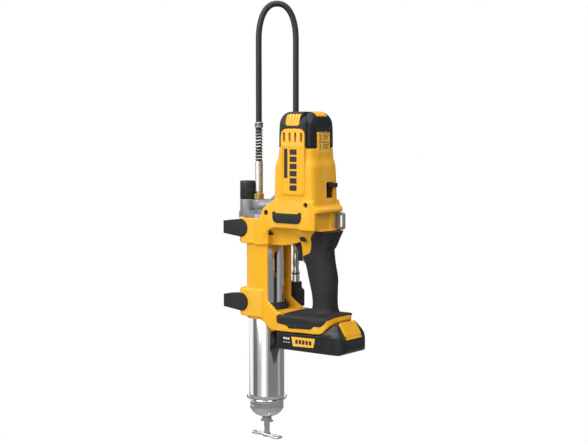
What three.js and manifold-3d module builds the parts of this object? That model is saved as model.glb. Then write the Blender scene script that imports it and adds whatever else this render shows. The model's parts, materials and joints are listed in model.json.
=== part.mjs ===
// A cordless grease gun: a battery pack under a pistol grip drives a motor and gearbox above it, a cam pushes
// a plunger in a cast pump head, and the head takes grease from a steel barrel and sends it into a hose.
// Millimetres. The tool frame has the barrel's axis on Z, with X running back from the barrel to the grip.
// The exported group moves it so that the origin is the middle of the grip, where the hand holds the tool.
import * as THREE from "three";
import { mergeVertices } from "three/addons/utils/BufferGeometryUtils.js";
import Module from "manifold-3d";

const wasm = await Module();
wasm.setup();

// Driving dimensions.
const GAP = 0.3; // between neighbouring pieces
const FINEST = 0.03; // slivers smaller than this are taken out of a finished piece
const GRIP = { x: 112, z: -88 }; // the grip's middle, which becomes the origin
const BARREL_R = 28.5; // takes a standard 14 oz cartridge, 54 mm across
const BARREL_WALL = 1.3;
const BARREL_TOP = -8;
const BARREL_BOTTOM = -290;
const COLUMN_R = 32.5; // the housing's wall around the barrel
const COLUMN_REAR = 27; // where its two side walls end
const HOUSING_BOTTOM = -157;
const WINDOW = { low: -141, high: -37.2, half: 28.9 }; // the open back of the column
const DECK = 6; // top of the side walls round the pump head
const BODY_HALF = 36.5; // half the width of the gear housing
const FOOT_HALF = 37; // half the width of the battery foot
const MOTOR_X = 78; // the motor's upright axis
const CAP_BASE = 119; // where the end cap meets the motor housing
const CAP_TOP = 176;
const PLUNGER_Z = 24; // height of the pump plunger's axis
const CAM_R = 9;
const CAM_THROW = 4.5;
const PLUNGER_END = 55; // the plunger's driven end at the front of its stroke
const RELIEF_X = -38; // the relief valve's upright axis
const HOSE_R = 4.9;
const HOSE_X = -15.5; // where the hose leaves the pump head
const DOCK = { x: 26.8, y: 43.2 }; // the upright axis of the docked coupler
const SELECTOR = { y: 8.1, half: 9.3, low: 41, high: 66 }; // the speed selector's slot in the rear wall
const SPRING_TURNS = 9;

const paint = (color, roughness, metalness = 0) =>
  new THREE.MeshStandardMaterial({ color, roughness, metalness });
const YELLOW = paint(0xf5b81a, 0.45);
const RUBBER = paint(0x2b2b2d, 0.8);
const BLACK = paint(0x222224, 0.5);
const STEEL = paint(0xc8cacc, 0.2, 1);
const WIRE = paint(0xd5d3ce, 0.35, 1);
const CASTING = paint(0x9b9b9c, 0.5, 0.6);
const BRASS = paint(0xb89a5c, 0.35, 1);
const COPPER = paint(0x8f8f93, 0.45, 0.8);

// --- Solids ---

// A closed three.js geometry as a manifold-3d solid whose faces point out.
function solid(geometry) {
  const bare = geometry.clone();
  bare.deleteAttribute("normal");
  bare.deleteAttribute("uv");
  const merged = mergeVertices(bare, 1e-4);
  const corners = [];
  for (let i = 0; i < merged.index.count; i += 3) {
    const [a, b, c] = [0, 1, 2].map((k) => merged.index.getX(i + k));
    if (a !== b && b !== c && c !== a) corners.push(a, b, c);
  }
  const vertProperties = new Float32Array(merged.attributes.position.array);
  const made = (order) =>
    new wasm.Manifold(new wasm.Mesh({ numProp: 3, vertProperties, triVerts: new Uint32Array(order) }));
  const first = made(corners);
  return first.volume() < 0 ? made(corners.reverse()) : first;
}

const join = (...solids) => solids.reduce((sum, next) => sum.add(next));
const cut = (from, ...tools) => tools.reduce((left, tool) => left.subtract(tool), from);

// A solid as a named mesh.
function piece(name, shape, material) {
  const { vertProperties, triVerts } = shape.simplify(FINEST).getMesh();
  const geometry = new THREE.BufferGeometry();
  geometry.setAttribute("position", new THREE.BufferAttribute(new Float32Array(vertProperties), 3));
  geometry.setIndex(new THREE.BufferAttribute(new Uint32Array(triVerts), 1));
  geometry.computeVertexNormals();
  const mesh = new THREE.Mesh(geometry, material);
  mesh.name = name;
  return mesh;
}

const box = (x0, x1, y0, y1, z0, z1) =>
  solid(
    new THREE.BoxGeometry(x1 - x0, y1 - y0, z1 - z0)
      .translate((x0 + x1) / 2, (y0 + y1) / 2, (z0 + z1) / 2),
  );

// Round bars along each axis.
const upright = (r, z0, z1, x = 0, y = 0, sides = 20, rTop = r) =>
  solid(
    new THREE.CylinderGeometry(rTop, r, z1 - z0, sides)
      .rotateX(Math.PI / 2)
      .translate(x, y, (z0 + z1) / 2),
  );
const along = (r, x0, x1, y, z, sides = 20) =>
  solid(new THREE.CylinderGeometry(r, r, x1 - x0, sides).rotateZ(Math.PI / 2).translate((x0 + x1) / 2, y, z));
const across = (r, y0, y1, x, z, sides = 12) =>
  solid(new THREE.CylinderGeometry(r, r, y1 - y0, sides).translate(x, (y0 + y1) / 2, z));

// A profile of [radius, z] points turned about an upright axis.
const turned = (profile, x = 0, y = 0, sides = 28) =>
  solid(
    new THREE.LatheGeometry(profile.map(([r, z]) => new THREE.Vector2(r, z)), sides)
      .rotateX(Math.PI / 2)
      .translate(x, y, 0),
  );

const shapeOf = (points) => new THREE.Shape(points.map(([a, b]) => new THREE.Vector2(a, b)));
const extruded = (shape, depth) =>
  new THREE.ExtrudeGeometry(shape, { depth, bevelEnabled: false, curveSegments: 4 });

// A plan in X and Y raised from z0 to z1, and a side outline in X and Z spread from y0 to y1.
const raised = (shape, z0, z1) => solid(extruded(shape, z1 - z0).translate(0, 0, z0));
const spread = (shape, y0, y1) => solid(extruded(shape, y1 - y0).rotateX(Math.PI / 2).translate(0, y1, 0));

// A rectangle with round corners.
function roundRect(a0, a1, b0, b1, r) {
  const s = new THREE.Shape();
  s.moveTo(a0 + r, b0).lineTo(a1 - r, b0).absarc(a1 - r, b0 + r, r, -Math.PI / 2, 0, false);
  s.lineTo(a1, b1 - r).absarc(a1 - r, b1 - r, r, 0, Math.PI / 2, false);
  s.lineTo(a0 + r, b1).absarc(a0 + r, b1 - r, r, Math.PI / 2, Math.PI, false);
  s.lineTo(a0, b0 + r).absarc(a0 + r, b0 + r, r, Math.PI, 1.5 * Math.PI, false);
  return s;
}

// A skin over level sections, each a superellipse {z, x, a, b, n}: n of 2 is an ellipse and 6 nearly a box.
function loft(sections, count = 20) {
  const position = [];
  const index = [];
  for (const { z, x, a, b, n } of sections)
    for (let i = 0; i < count; i++) {
      const t = ((i + 0.5) / count) * 2 * Math.PI;
      const bend = (v) => Math.sign(v) * Math.abs(v) ** (2 / n);
      position.push(x + a * bend(Math.cos(t)), b * bend(Math.sin(t)), z);
    }
  const at = (ring, i) => ring * count + (i % count);
  for (let ring = 0; ring + 1 < sections.length; ring++)
    for (let i = 0; i < count; i++) {
      index.push(at(ring, i), at(ring, i + 1), at(ring + 1, i + 1));
      index.push(at(ring, i), at(ring + 1, i + 1), at(ring + 1, i));
    }
  for (const [ring, { z, x }] of [[0, sections[0]], [sections.length - 1, sections.at(-1)]]) {
    const middle = position.length / 3;
    position.push(x, 0, z);
    for (let i = 0; i < count; i++)
      index.push(middle, ...(ring ? [at(ring, i), at(ring, i + 1)] : [at(ring, i + 1), at(ring, i)]));
  }
  const geometry = new THREE.BufferGeometry();
  geometry.setAttribute("position", new THREE.Float32BufferAttribute(position, 3));
  return solid(geometry.setIndex(index));
}

const grown = (sections, by) => sections.map((s) => ({ ...s, a: s.a + by, b: s.b + by }));

// The left half is on -Y and the right half on +Y, with the parting gap between them.
const FAR = 400;
const leftOf = (shape) => shape.intersect(box(-FAR, FAR, -FAR, -GAP / 2, -FAR, FAR));
const rightOf = (shape) => shape.intersect(box(-FAR, FAR, GAP / 2, FAR, -FAR, FAR));
const bothSides = (shapeFor) => join(shapeFor(-1), shapeFor(1));
const sideBox = (side, x0, x1, near, far, z0, z1) =>
  box(x0, x1, Math.min(side * near, side * far), Math.max(side * near, side * far), z0, z1);

// --- Outlines and sections of the housing ---

// The grip under the gear housing, from the flare at its top to the one that meets the foot.
const GRIP_SECTIONS = [
  { z: -146, x: 113, a: 34, b: 33, n: 3.2 },
  { z: -138, x: 117, a: 26, b: 25, n: 2.6 },
  { z: -129, x: 117.3, a: 21, b: 19, n: 2.2 },
  { z: -120, x: 117.2, a: 20, b: 18, n: 2.2 },
  { z: -100, x: 115.6, a: 22.8, b: 18, n: 2.2 },
  { z: -82, x: 112.9, a: 25.2, b: 18.4, n: 2.2 },
  { z: -66, x: 108.9, a: 25.2, b: 18.4, n: 2.2 },
  { z: -54, x: 104, a: 28.5, b: 18.8, n: 2.3 },
  { z: -32, x: 101, a: 28.4, b: 21, n: 2.4 },
  { z: -20, x: 101, a: 28, b: 28, n: 3 },
  { z: -9, x: 100, a: 28.5, b: 34, n: 4.5 },
];
const GRIP_SKIN = 2.6; // thickness of the rubber over the grip's core

const MOTOR_SECTIONS = [
  { z: 14, x: MOTOR_X, a: 41.5, b: BODY_HALF, n: 6.5 },
  { z: 92, x: MOTOR_X, a: 40, b: BODY_HALF - 0.5, n: 6.5 },
  { z: 103, x: MOTOR_X + 1, a: 36.4, b: 34.6, n: 5.8 },
  { z: CAP_BASE, x: MOTOR_X + 1.5, a: 34.8, b: 34, n: 5.5 },
];
const CAP_SECTIONS = [
  { z: CAP_BASE + GAP, x: MOTOR_X + 1.5, a: 34.8, b: 34, n: 5.5 },
  { z: 158, x: MOTOR_X + 1.5, a: 34.2, b: 33.4, n: 5 },
  { z: 167, x: MOTOR_X + 1, a: 32, b: 31.2, n: 4.6 },
  { z: 173, x: MOTOR_X + 0.5, a: 28, b: 27.4, n: 4.2 },
  { z: CAP_TOP, x: MOTOR_X, a: 21.5, b: 21, n: 3.8 },
];

// The raised spine on each side of the motor housing, which carries the vents and runs up over the cap.
const SPINE = { x0: 57, x1: 104, z0: 46, arch: 149, r: 12 };

// Outlines in X and Z.
const BODY_OUTLINE = shapeOf([
  [8, -36.5], [50, -36.5], [62, -34], [76, -31], [86, -24], [94, -9], [124, -9], [124, 17], [131, 19.6],
  [131, 24], [121, 29], [118, 36], [41, 33], [27, 27.5], [20, 22], [13, DECK + 0.4], [8, DECK + 0.4],
]);
const FOOT_OUTLINE = shapeOf([
  [8, HOUSING_BOTTOM], [16, -158.5], [26, -166], [35, -171], [133, -169], [150, -151], [152, -146],
  [150, -141.5], [60, -141.5], [47, -141.2], [COLUMN_REAR, -124], [8, -124],
]);

// Plan of the column: half round in front of the barrel, with straight walls beside it.
function columnPlan(r, rear) {
  const s = new THREE.Shape();
  s.moveTo(rear, -r).lineTo(rear, r).lineTo(0, r).absarc(0, 0, r, Math.PI / 2, 1.5 * Math.PI, false);
  return s;
}
const PLINTH_FRONT = -40.6;
const PLINTH_PLAN = shapeOf([
  [PLINTH_FRONT, -19], [-25, -35.5], [30, -35.5], [30, 35.5], [-25, 35.5], [PLINTH_FRONT, 19],
]);
const PLINTHS = [
  { low: -153, high: -109.5 },
  { low: -35, high: DECK },
];

// Screws that hold the two halves together: x, z, and how far they reach across.
const SCREWS = [
  { name: "screw_gear_housing", x: 105, z: 31 },
  { name: "screw_plinth_upper", x: -36, z: -12 },
  { name: "screw_plinth_lower", x: -36, z: -132 },
  { name: "screw_foot", x: 43, z: -156, side: 1 },
];
const SCREW_R = 2;
const SCREW_HEAD_R = 3.8;
const SCREW_HEAD = 2.6;
const SCREW_SEAT = 31; // distance from the middle plane to the underside of a screw's head
const PLINTH_SEAT = 17;
const seatOf = ({ x }) => (x < 0 ? PLINTH_SEAT : SCREW_SEAT);

// A round bar at one of the two screws into the pump head.
const HEAD_SCREW = { x: 27.5, z: 16.6 };
function acrossSide(side, r, near, far, sides) {
  const [low, high] = side > 0 ? [near, far] : [-far, -near];
  return across(r, low, high, HEAD_SCREW.x, HEAD_SCREW.z, sides);
}

// A round bar at a screw, given as for one whose head is on the left.
const sided = ({ x, z, side = -1 }, r, y0, y1) =>
  across(r, Math.min(-side * y0, -side * y1), Math.max(-side * y0, -side * y1), x, z);

function archShape(margin = 0) {
  const { x0, x1, z0, arch, r } = SPINE;
  return roundRect(x0 - margin, x1 + margin, z0 - margin, arch + margin, r);
}
const LABEL_TAB = { x: 110.5, left: -18, right: 14, low: 112, high: 144.5 };

// The underside of the gear housing draws in towards the fingers.
const underCut = (side) => {
  const wedge = shapeOf([
    [BODY_HALF + 4, -6], [BODY_HALF + 0.2, -6], [31, -22], [19, -38], [19, -60], [BODY_HALF + 4, -60],
  ]);
  const bar = extruded(wedge, 52).rotateX(Math.PI / 2).rotateZ(Math.PI / 2).translate(33, 0, 0);
  return solid(side > 0 ? bar : bar.scale(1, -1, 1));
};

function housing() {
  const bodyBlock = cut(spread(BODY_OUTLINE, -BODY_HALF, BODY_HALF), underCut(1), underCut(-1));
  const outer = join(
    raised(columnPlan(COLUMN_R, COLUMN_REAR), HOUSING_BOTTOM, DECK),
    ...PLINTHS.map(({ low, high }) => raised(PLINTH_PLAN, low, high)),
    bodyBlock,
    loft(MOTOR_SECTIONS),
    loft(grown(GRIP_SECTIONS, -GRIP_SKIN - GAP)),
    footBlock(),
    spread(archShape(), -BODY_HALF - 0.8, BODY_HALF + 0.8).intersect(box(0, 200, -60, 60, 46, SPINE.arch)),
    box(LABEL_TAB.x, 114.6, LABEL_TAB.left, LABEL_TAB.right, LABEL_TAB.low - 20, LABEL_TAB.high),
    box(118, 126.4, 4, 27, -8.5, 17.5), // the block that carries the strap ring
    triggerHousing(),
  );
  const boss = across(5.4, -SCREW_SEAT - 3, SCREW_SEAT + 3, SCREWS[0].x, SCREWS[0].z, 12);
  const shell = join(cut(outer, ...cavities()), boss);
  return cut(shell, ...openings());
}

// The battery foot, with round rear corners and, behind the column, a crowned top.
const ROOMY_GAP = GAP + 0.13; // wider than the gap that rubber keeps, so that no two faces meet exactly
const FOOT_CROWN = [[39, -190], [39, -148.5], [34, -143], [22, -139.3], [0, -137.8]]; // half of it: y, z
function crowned(drop) {
  const half = FOOT_CROWN.map(([y, z]) => [y, z - drop]);
  const profile = shapeOf([...half, ...half.slice(0, -1).reverse().map(([y, z]) => [-y, z])]);
  return solid(extruded(profile, 110).rotateX(Math.PI / 2).rotateZ(Math.PI / 2).translate(50, 0, 0));
}
const footPlan = (margin) =>
  raised(roundRect(-60, 152 + margin, -FOOT_HALF - margin, FOOT_HALF + margin, 24), -180, -120);
function footBlock() {
  const block = spread(FOOT_OUTLINE, -FOOT_HALF, FOOT_HALF).intersect(footPlan(0));
  return cut(block, cut(box(58, 160, -50, 50, -148, -120), crowned(3.4)));
}

// The yellow part of the grip's front, which the trigger slides into.
const triggerHousing = () =>
  loft([
    { z: -60, x: 90.5, a: 11, b: 13.5, n: 3 },
    { z: -40, x: 91.5, a: 13, b: 16, n: 3 },
    { z: -24, x: 91, a: 16, b: 22, n: 3 },
    { z: -8, x: 88, a: 22, b: 32, n: 3.4 },
  ], 20);

function cavities() {
  const gearRoom = shapeOf([[33, 33], [-33, 33], [-33, -6], [33, -6]]);
  const lowRoom = shapeOf([[30, 0], [-30, 0], [-30, -8], [-16, -32], [16, -32], [30, -8]]);
  const lengthwise = (shape, from, to) =>
    solid(extruded(shape, to - from).rotateX(Math.PI / 2).rotateZ(Math.PI / 2).translate(from, 0, 0));
  const capRoom = { z: CAP_BASE + 60, x: MOTOR_X + 1.5, a: 31.2, b: 30.6, n: 5 };
  return [
    lengthwise(gearRoom, 30, 114),
    lengthwise(lowRoom, 30, 70),
    loft([...grown(MOTOR_SECTIONS, -3).map((s, i) => (i ? s : { ...s, z: 20 })), capRoom]),
    loft(grown(GRIP_SECTIONS, -GRIP_SKIN - 3.2).slice(1)),
    upright(BARREL_R + 0.8, -FAR, -2, 0, 0, 36), // the barrel
    box(0, 44, -WINDOW.half, WINDOW.half, WINDOW.low, WINDOW.high),
    box(-30, 34, -33, 33, -20, 60), // the pump head
    box(-34, -29, -15, 15, -20, 60),
    box(-60, -30, -14, 14, 2, 60),
    along(11.8, 30, 60, 0, PLUNGER_Z, 16),
    box(48, 130, -33.5, 33.5, -164, -146), // terminals, above the battery
    box(48, 200, -26, 26, -200, -156), // the battery's rails
  ];
}

function openings() {
  const { y, half, low, high } = SELECTOR;
  const vents = [];
  for (let i = 0; i < 4; i++) vents.push(box(62.2 + 11 * i, 66.2 + 11 * i, -60, 60, 129, 143.5));
  return [
    box(100, 140, y - half, y + half, low, high),
    ...vents,
    box(54, 97, -10.3, 10.3, -61.5, -30), // the trigger
    spread(lockOutline(GAP), -60, 60),
    ...[-1, 1].map((side) => spreadSide(padOutline(GAP), side, BODY_HALF - 1.8, 60)),
    ...[-1, 1].map((side) => spreadSide(footRubberOutline(ROOMY_GAP), side, FOOT_HALF - 2.8, 60)),
    ...SCREWS.map((s) => join(sided(s, SCREW_R + GAP, -60, 26), sided(s, 4.2, -60, -seatOf(s)))),
    ...[-1, 1].flatMap((side) => [
      acrossSide(side, SCREW_R + GAP, 0, 60, 12),
      acrossSide(side, 4.2, 34.8, 60),
    ]),
    upright(1.7, -12, 20, 124.5, 17, 12), // the strap ring's pivot
    box(121.5, 140, 12.7, 21.3, -6, 15.5),
    ...FEET.map((foot) => footShape(foot, 0.3)),
  ];
}

// --- Rubber pads and covers ---

const spreadSide = (shape, side, near, far) =>
  spread(shape, Math.min(side * near, side * far), Math.max(side * near, side * far));

function padOutline(margin = 0) {
  const m = margin;
  return shapeOf([
    [43 - m, 20 + m], [43 - m, 8], [52 - m / 2, 1 - m], [89 + m / 2, 1 - m], [98 + m, 8], [98 + m, 20 + m],
  ]);
}

// The rubber that runs forward from the grip along each side of the foot.
function footRubberOutline(margin = 0) {
  const m = margin;
  return shapeOf([
    [49 - m, -150], [51, -159 - m], [72, -161 - m], [76, -165 - m], [118, -164 - m], [122, -159 - m],
    [134 + m, -157 - m], [145 + m, -147.5], [151, -141 + m], [151, -130], [62 - m, -130], [60 - m, -143],
    [50 - m, -148],
  ]);
}

// The rubber over the foot, the grip and the flare above it, before it is parted.
// The part of the grip in front that stays yellow.
const GRIP_YELLOW = shapeOf([
  [60, 0], [60, -68], [83, -60.5], [100, -49], [104, -20], [112, -9.3], [140, -9.3], [140, 0],
]);
const FOOT_COVER = shapeOf([
  [58.6, -152], [60.6, -142], [70, -139], [94, -136], [99, -130], [137, -130], [141, -134], [150.6, -139.4],
  [150.6, -141.1], [140, -152],
]);
function gripCover() {
  const foot = footBlock().translate(0, 0, ROOMY_GAP);
  const coreSections = grown(GRIP_SECTIONS, -GRIP_SKIN);
  const core = loft([{ ...coreSections[0], z: -158 }, ...coreSections]);
  const sleeve = cut(
    loft(GRIP_SECTIONS),
    core,
    spread(GRIP_YELLOW, -60, 60),
    foot,
    triggerHousing(),
  );
  const cover = cut(spread(FOOT_COVER, -FOOT_HALF - 1.2, FOOT_HALF + 1.2), foot, core);
  const flank = (side) => spreadSide(footRubberOutline(), side, FOOT_HALF - 2.4, FOOT_HALF + 1.2);
  const saddle = join(cover, bothSides(flank)).intersect(crowned(0)).intersect(footPlan(1.2));
  const clearOfBody = cut(join(sleeve, saddle), box(0, 200, -60, 60, -9.2, 60));
  return cut(clearOfBody, housingForCutting());
}

let housingCache;
const housingWhole = () => (housingCache ??= housing());
// The housing with a little room round it, so that rubber laid on it leaves a gap.
function housingForCutting() {
  const whole = housingWhole();
  const shifts = [[0, 0, 0], [GAP, 0, 0], [-GAP, 0, 0], [0, GAP, 0], [0, -GAP, 0], [0, 0, GAP], [0, 0, -GAP]];
  return join(...shifts.map((by) => whole.translate(by)));
}

// The seat round the barrel on the floor of the open back.
function barrelCollar() {
  const { low, half } = WINDOW;
  const ring = turned([
    [BARREL_R + 0.4, low + GAP], [37, low + GAP], [36, low + 5], [31.5, low + 11], [BARREL_R + 0.4, low + 11],
    [BARREL_R + 0.4, low + GAP],
  ], 0, 0, 36);
  return ring.intersect(box(1, 60, -half + GAP, half - GAP, -200, 0));
}

// Four rubber feet in front of the barrel, which the tool lies on: height of the middle, and the side.
const FEET = [
  { name: "foot_upper_left", z: -10.5, side: -1 },
  { name: "foot_upper_right", z: -10.5, side: 1 },
  { name: "foot_lower_left", z: -130.5, side: -1 },
  { name: "foot_lower_right", z: -130.5, side: 1 },
];
const FOOT_PAD = { face: -60, rise: 10.3, middle: -26, r: 14.4, near: 33.6, far: 37.5 };
function footShape({ z, side }, margin = 0) {
  const { face, rise, middle, r, near, far } = FOOT_PAD;
  const m = margin;
  const back = PLINTH_FRONT - 0.4 + m;
  const s = new THREE.Shape();
  s.moveTo(face - m, z - rise - m).lineTo(middle, z - r - m);
  s.absarc(middle, z, r + m, -Math.PI / 2, Math.PI / 2, false);
  s.lineTo(face - m, z + rise + m);
  const front = shapeOf([
    [face - m, z - rise - m], [back, z - rise - 1.8 - m],
    [back, z + rise + 1.8 + m], [face - m, z + rise + m],
  ]);
  return join(spreadSide(s, side, near - m, far + m), spreadSide(front, side, 16 - m, far + m));
}

// --- Buttons, trigger and selector ---

function lockOutline(margin = 0) {
  const m = margin;
  return shapeOf([[85 - m, -20 + m], [88 - m, -27 - m], [97 + m, -27 - m], [94 + m, -20 + m]]);
}
const lockOff = () => spread(lockOutline(), -26, 23.5);

const trigger = () => {
  const s = new THREE.Shape();
  s.moveTo(62.5, -31.5).quadraticCurveTo(71, -36, 70.5, -47).quadraticCurveTo(70.2, -55, 68, -60);
  s.lineTo(79, -60).lineTo(86, -52).lineTo(86, -31.5);
  return spread(s, -9.5, 9.5);
};

// The selector's shoe is behind the wall, its stem is in the slot and its lever lies over the wall outside.
function speedSelector() {
  const { y, half, high } = SELECTOR;
  const shoe = box(107.5, 113.3, y - half - 2.5, y + half + 2.5, high - 11, high - 2);
  const stem = box(113, 121, y - half + 6, y + half - 0.5, high - 9.6, high - 1.4);
  const lever = box(119.2, 124, y - half + 6, y + half + 6.5, high - 8.6, high - 1.6);
  return join(shoe, stem, lever);
}

function strapRing() {
  const band = 4.2;
  const [x0, x1, z0, z1] = [127.8, 142.6, -9, 18.6];
  const outline = roundRect(x0, x1, z0, z1, 6);
  outline.holes.push(roundRect(x0 + band, x1 - band, z0 + band, z1 - band, 2.8));
  const hub = upright(2.6, -5, 14.6, 124.5, 17, 12);
  const pin = upright(1.4, -8.4, 17.4, 124.5, 17, 12);
  return join(spread(outline, 17 - 1.9, 17 + 1.9), hub, pin, box(126, 129, 15.4, 18.6, -3, 12));
}

// --- Pump head ---

const HEAD_NECK_END = 48;
function pumpHead() {
  const bore = BARREL_R + 0.4;
  const socket = turned([[0, 12], [32.2, 12], [32.2, -18], [bore, -18], [bore, -5.5], [0, -5.5]]);
  const block = join(
    socket,
    box(-29, 33, -22, 22, 2, 15.5),
    upright(12.2, 19.5, 33.8, RELIEF_X + 24, 0, 32),
    upright(13.5, 2, 34, RELIEF_X, 0, 32),
    box(-50, -28, -11, 11, 3, 14.5),
    box(-38, 30, -9, 9, 10, 33.6), // the pump cylinder's casting
    along(11.3, 20, HEAD_NECK_END, 0, PLUNGER_Z, 20),
    ...[-1, 1].map((side) => sideBox(side, 22, 33, 8, 32.4, 9, 24)),
    spread(shapeOf([[4, 30], [29, 52], [34, 52], [34, 28]]), 3, 7), // the web towards the motor
  );
  return cut(
    block,
    along(5.3, -46, 80, 0, PLUNGER_Z, 16), // the plunger's bore
    upright(3.6, PLUNGER_Z + 2, 60, HOSE_X, 0, 12), // the outlet
    upright(5, -30, PLUNGER_Z - 3, 0, 0, 12), // the inlet from the barrel
    ...[-1, 1].map((side) => acrossSide(side, SCREW_R + GAP, 12, 60, 12)),
  );
}

const plungerRod = () =>
  join(
    along(4.9, -28, PLUNGER_END - 2, 0, PLUNGER_Z, 16),
    along(8.5, PLUNGER_END - 5, PLUNGER_END, 0, PLUNGER_Z, 16),
  );
const cam = () =>
  join(
    upright(CAM_R, 16, 32, MOTOR_X + CAM_THROW),
    upright(5, 8, 45.5, MOTOR_X, 0, 16),
    upright(9, 40, 45.2, MOTOR_X),
  );

// --- Hose ---

const HOSE_START = 50; // where the rubber leaves the fitting, inside the spring guard
const FERRULE_TOP = 6; // where the hose ends, on the coupler's side
const LOOP_TOP = 349;
const LOOP_SHOULDER = 290; // where the two straight legs end
const ARCH_POWER = 2.25; // the loop's crown is a superellipse, a little fuller than an ellipse

// Centre line of the hose: up from the pump head, over, and straight down beside the housing.
function hoseRoute() {
  const points = [];
  const crown = 16;
  const at = (t, z) => new THREE.Vector3(HOSE_X + (DOCK.x - HOSE_X) * t, DOCK.y * t, z);
  for (const z of [HOSE_START, 90, 130, 170, 210, 250]) points.push(at(0, z));
  for (let i = 0; i <= crown; i++) {
    const angle = Math.PI * (1 - i / crown);
    const c = Math.cos(angle);
    const sideways = Math.sign(c) * Math.abs(c) ** (2 / ARCH_POWER);
    const rise = Math.sin(angle) ** (2 / ARCH_POWER);
    points.push(at((1 + sideways) / 2, LOOP_SHOULDER + (LOOP_TOP - LOOP_SHOULDER) * rise));
  }
  for (const z of [250, 210, 170, 130, 90, 50, FERRULE_TOP]) points.push(at(1, z));
  return points;
}

function circle(r, sides) {
  const s = new THREE.Shape();
  for (let i = 0; i < sides; i++) {
    const t = (i / sides) * 2 * Math.PI;
    i ? s.lineTo(r * Math.cos(t), r * Math.sin(t)) : s.moveTo(r, 0);
  }
  return s;
}

function hose() {
  const path = new THREE.CatmullRomCurve3(hoseRoute(), false, "centripetal");
  const settings = { steps: 48, bevelEnabled: false, extrudePath: path };
  return solid(new THREE.ExtrudeGeometry(circle(HOSE_R, 8), settings));
}

// A round wire wound about an upright axis.
function coil(r, wire, pitches, sides, perTurn, x, y, z0) {
  const points = [];
  let z = z0;
  let turn = 0;
  for (const [turns, pitch] of pitches) {
    const steps = Math.round(turns * perTurn);
    for (let i = 0; i < steps; i++) {
      const angle = turn * 2 * Math.PI;
      points.push(new THREE.Vector3(x + r * Math.cos(angle), y + r * Math.sin(angle), z));
      z += pitch / perTurn;
      turn += 1 / perTurn;
    }
  }
  const path = new THREE.CatmullRomCurve3(points);
  const settings = { steps: points.length, bevelEnabled: false, extrudePath: path };
  return solid(new THREE.ExtrudeGeometry(circle(wire, sides), settings));
}

const hexNut = (r, z0, z1, x, y) => upright(r, z0, z1, x, y, 6);
const hoseFitting = () =>
  cut(
    join(
      hexNut(9.4, 34.3, 43, HOSE_X, 0),
      upright(3.3, 29.6, 40, HOSE_X, 0, 12),
      upright(4.8, 42, 49.6, HOSE_X, 0),
    ),
    upright(2, 20, 60, HOSE_X, 0, 12),
  );
// The spring guard: close turns at the bottom, then open ones, with a hole down the middle for the hose.
const GUARD = { low: 43.4, close: 95, high: 149.7, turns: 11, bore: HOSE_R + 0.3, r: 7 };
function springGuard() {
  const { low, close, high, turns, bore, r } = GUARD;
  const pitch = (high - close) / turns;
  const profile = [[bore, low], [r, low]];
  for (let i = 0; i < turns; i++) {
    const z = close + i * pitch;
    profile.push([r, z + 0.2 * pitch], [r - 1.1, z + 0.8 * pitch]);
  }
  profile.push([bore, high], [bore, low]);
  return turned(profile, HOSE_X, 0, 12);
}
const guardFerrule = () =>
  turned(
    [[GUARD.bore, 150], [GUARD.r, 150], [GUARD.r, 159], [GUARD.bore, 159], [GUARD.bore, 150]],
    HOSE_X, 0, 16,
  );

// The docked end: a crimped ferrule, the coupler's body, its collar and its mouth.
const docked = (profile) => turned(profile, DOCK.x, DOCK.y, 20);
const hoseFerrule = () =>
  docked([[0, FERRULE_TOP - GAP], [5.9, FERRULE_TOP - GAP], [5.9, -44], [4.6, -46], [4.6, -50], [0, -50]]);
const couplerBody = () => docked([[0, -50.3], [5.3, -50.3], [5.3, -86.2], [0, -86.2]]);
const couplerCollar = () => docked([[0, -86.5], [6.3, -86.5], [6.3, -116], [5, -118], [0, -118]]);

const DOCK_FACE = 51;
function couplerDock() {
  const outline = shapeOf([
    [14, -101], [34, -101], [34, -111], [39.5, -115], [39.5, -141.5], [37.5, -142.5], [15, -129],
  ]);
  const block = spread(outline, COLUMN_R - 1, DOCK_FACE);
  return cut(block, upright(6.3 + GAP, -119, -90, DOCK.x, DOCK.y, 20), housingForCutting());
}

// --- Barrel ---

const barrelTube = () =>
  turned([
    [BARREL_R - BARREL_WALL, BARREL_TOP], [BARREL_R, BARREL_TOP], [BARREL_R, BARREL_BOTTOM],
    [BARREL_R - BARREL_WALL, BARREL_BOTTOM], [BARREL_R - BARREL_WALL, BARREL_TOP],
  ], 0, 0, 48);
const capFlange = () =>
  turned([
    [26, -291.9], [30, -291.9], [32.6, -286.5], [31.6, -285.5],
    [29, -289.4], [29, -290.3], [26, -290.3], [26, -291.9],
  ]);
const endCap = () =>
  turned([
    [5.2, -321], [9, -321], [18, -317.5], [24, -312], [26.6, -307.6],
    [27.2, -306.8], [27.2, -295.5], [26.4, -292.2],
    [24.2, -292.2], [24.2, -303.8], [12, -310], [5.2, -312], [5.2, -321],
  ]);
const lockNut = () =>
  cut(
    join(hexNut(8.6, -327.5, -321.4, 0, 0), box(-10.6, 10.6, -5.6, 5.6, -330, -327.2)),
    upright(5, -400, 0, 0, 0, 20),
  );

const ROD_R = 4.6;
const TEE_Z = -350;
const pullRod = () => upright(ROD_R, TEE_Z + 2.6, -30, 0, 0, 20);
function teeHandle() {
  const outline = roundRect(-32, 32, -8, 8, 7.9);
  outline.holes.push(roundRect(-27.5, 27.5, -3.5, 3.5, 3.4));
  const loop = raised(outline, TEE_Z - 4.6, TEE_Z);
  return join(loop, upright(6.5, TEE_Z - 5, TEE_Z + 2.3, 0, 0, 20)).rotate([0, 0, -10]);
}
const FOLLOWER_TOP = -14;
const followerPlate = () =>
  cut(
    turned([[0, FOLLOWER_TOP - 9], [25, FOLLOWER_TOP - 9], [25, FOLLOWER_TOP - 11], [0, FOLLOWER_TOP - 11]]),
    upright(ROD_R + 0.4, -60, 0),
  );
const followerCup = () =>
  turned([
    [0, FOLLOWER_TOP], [22, FOLLOWER_TOP], [26.9, FOLLOWER_TOP - 1.5],
    [26.9, FOLLOWER_TOP - 8.5], [0, FOLLOWER_TOP - 8.5],
  ]);

// --- Battery ---

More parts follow.
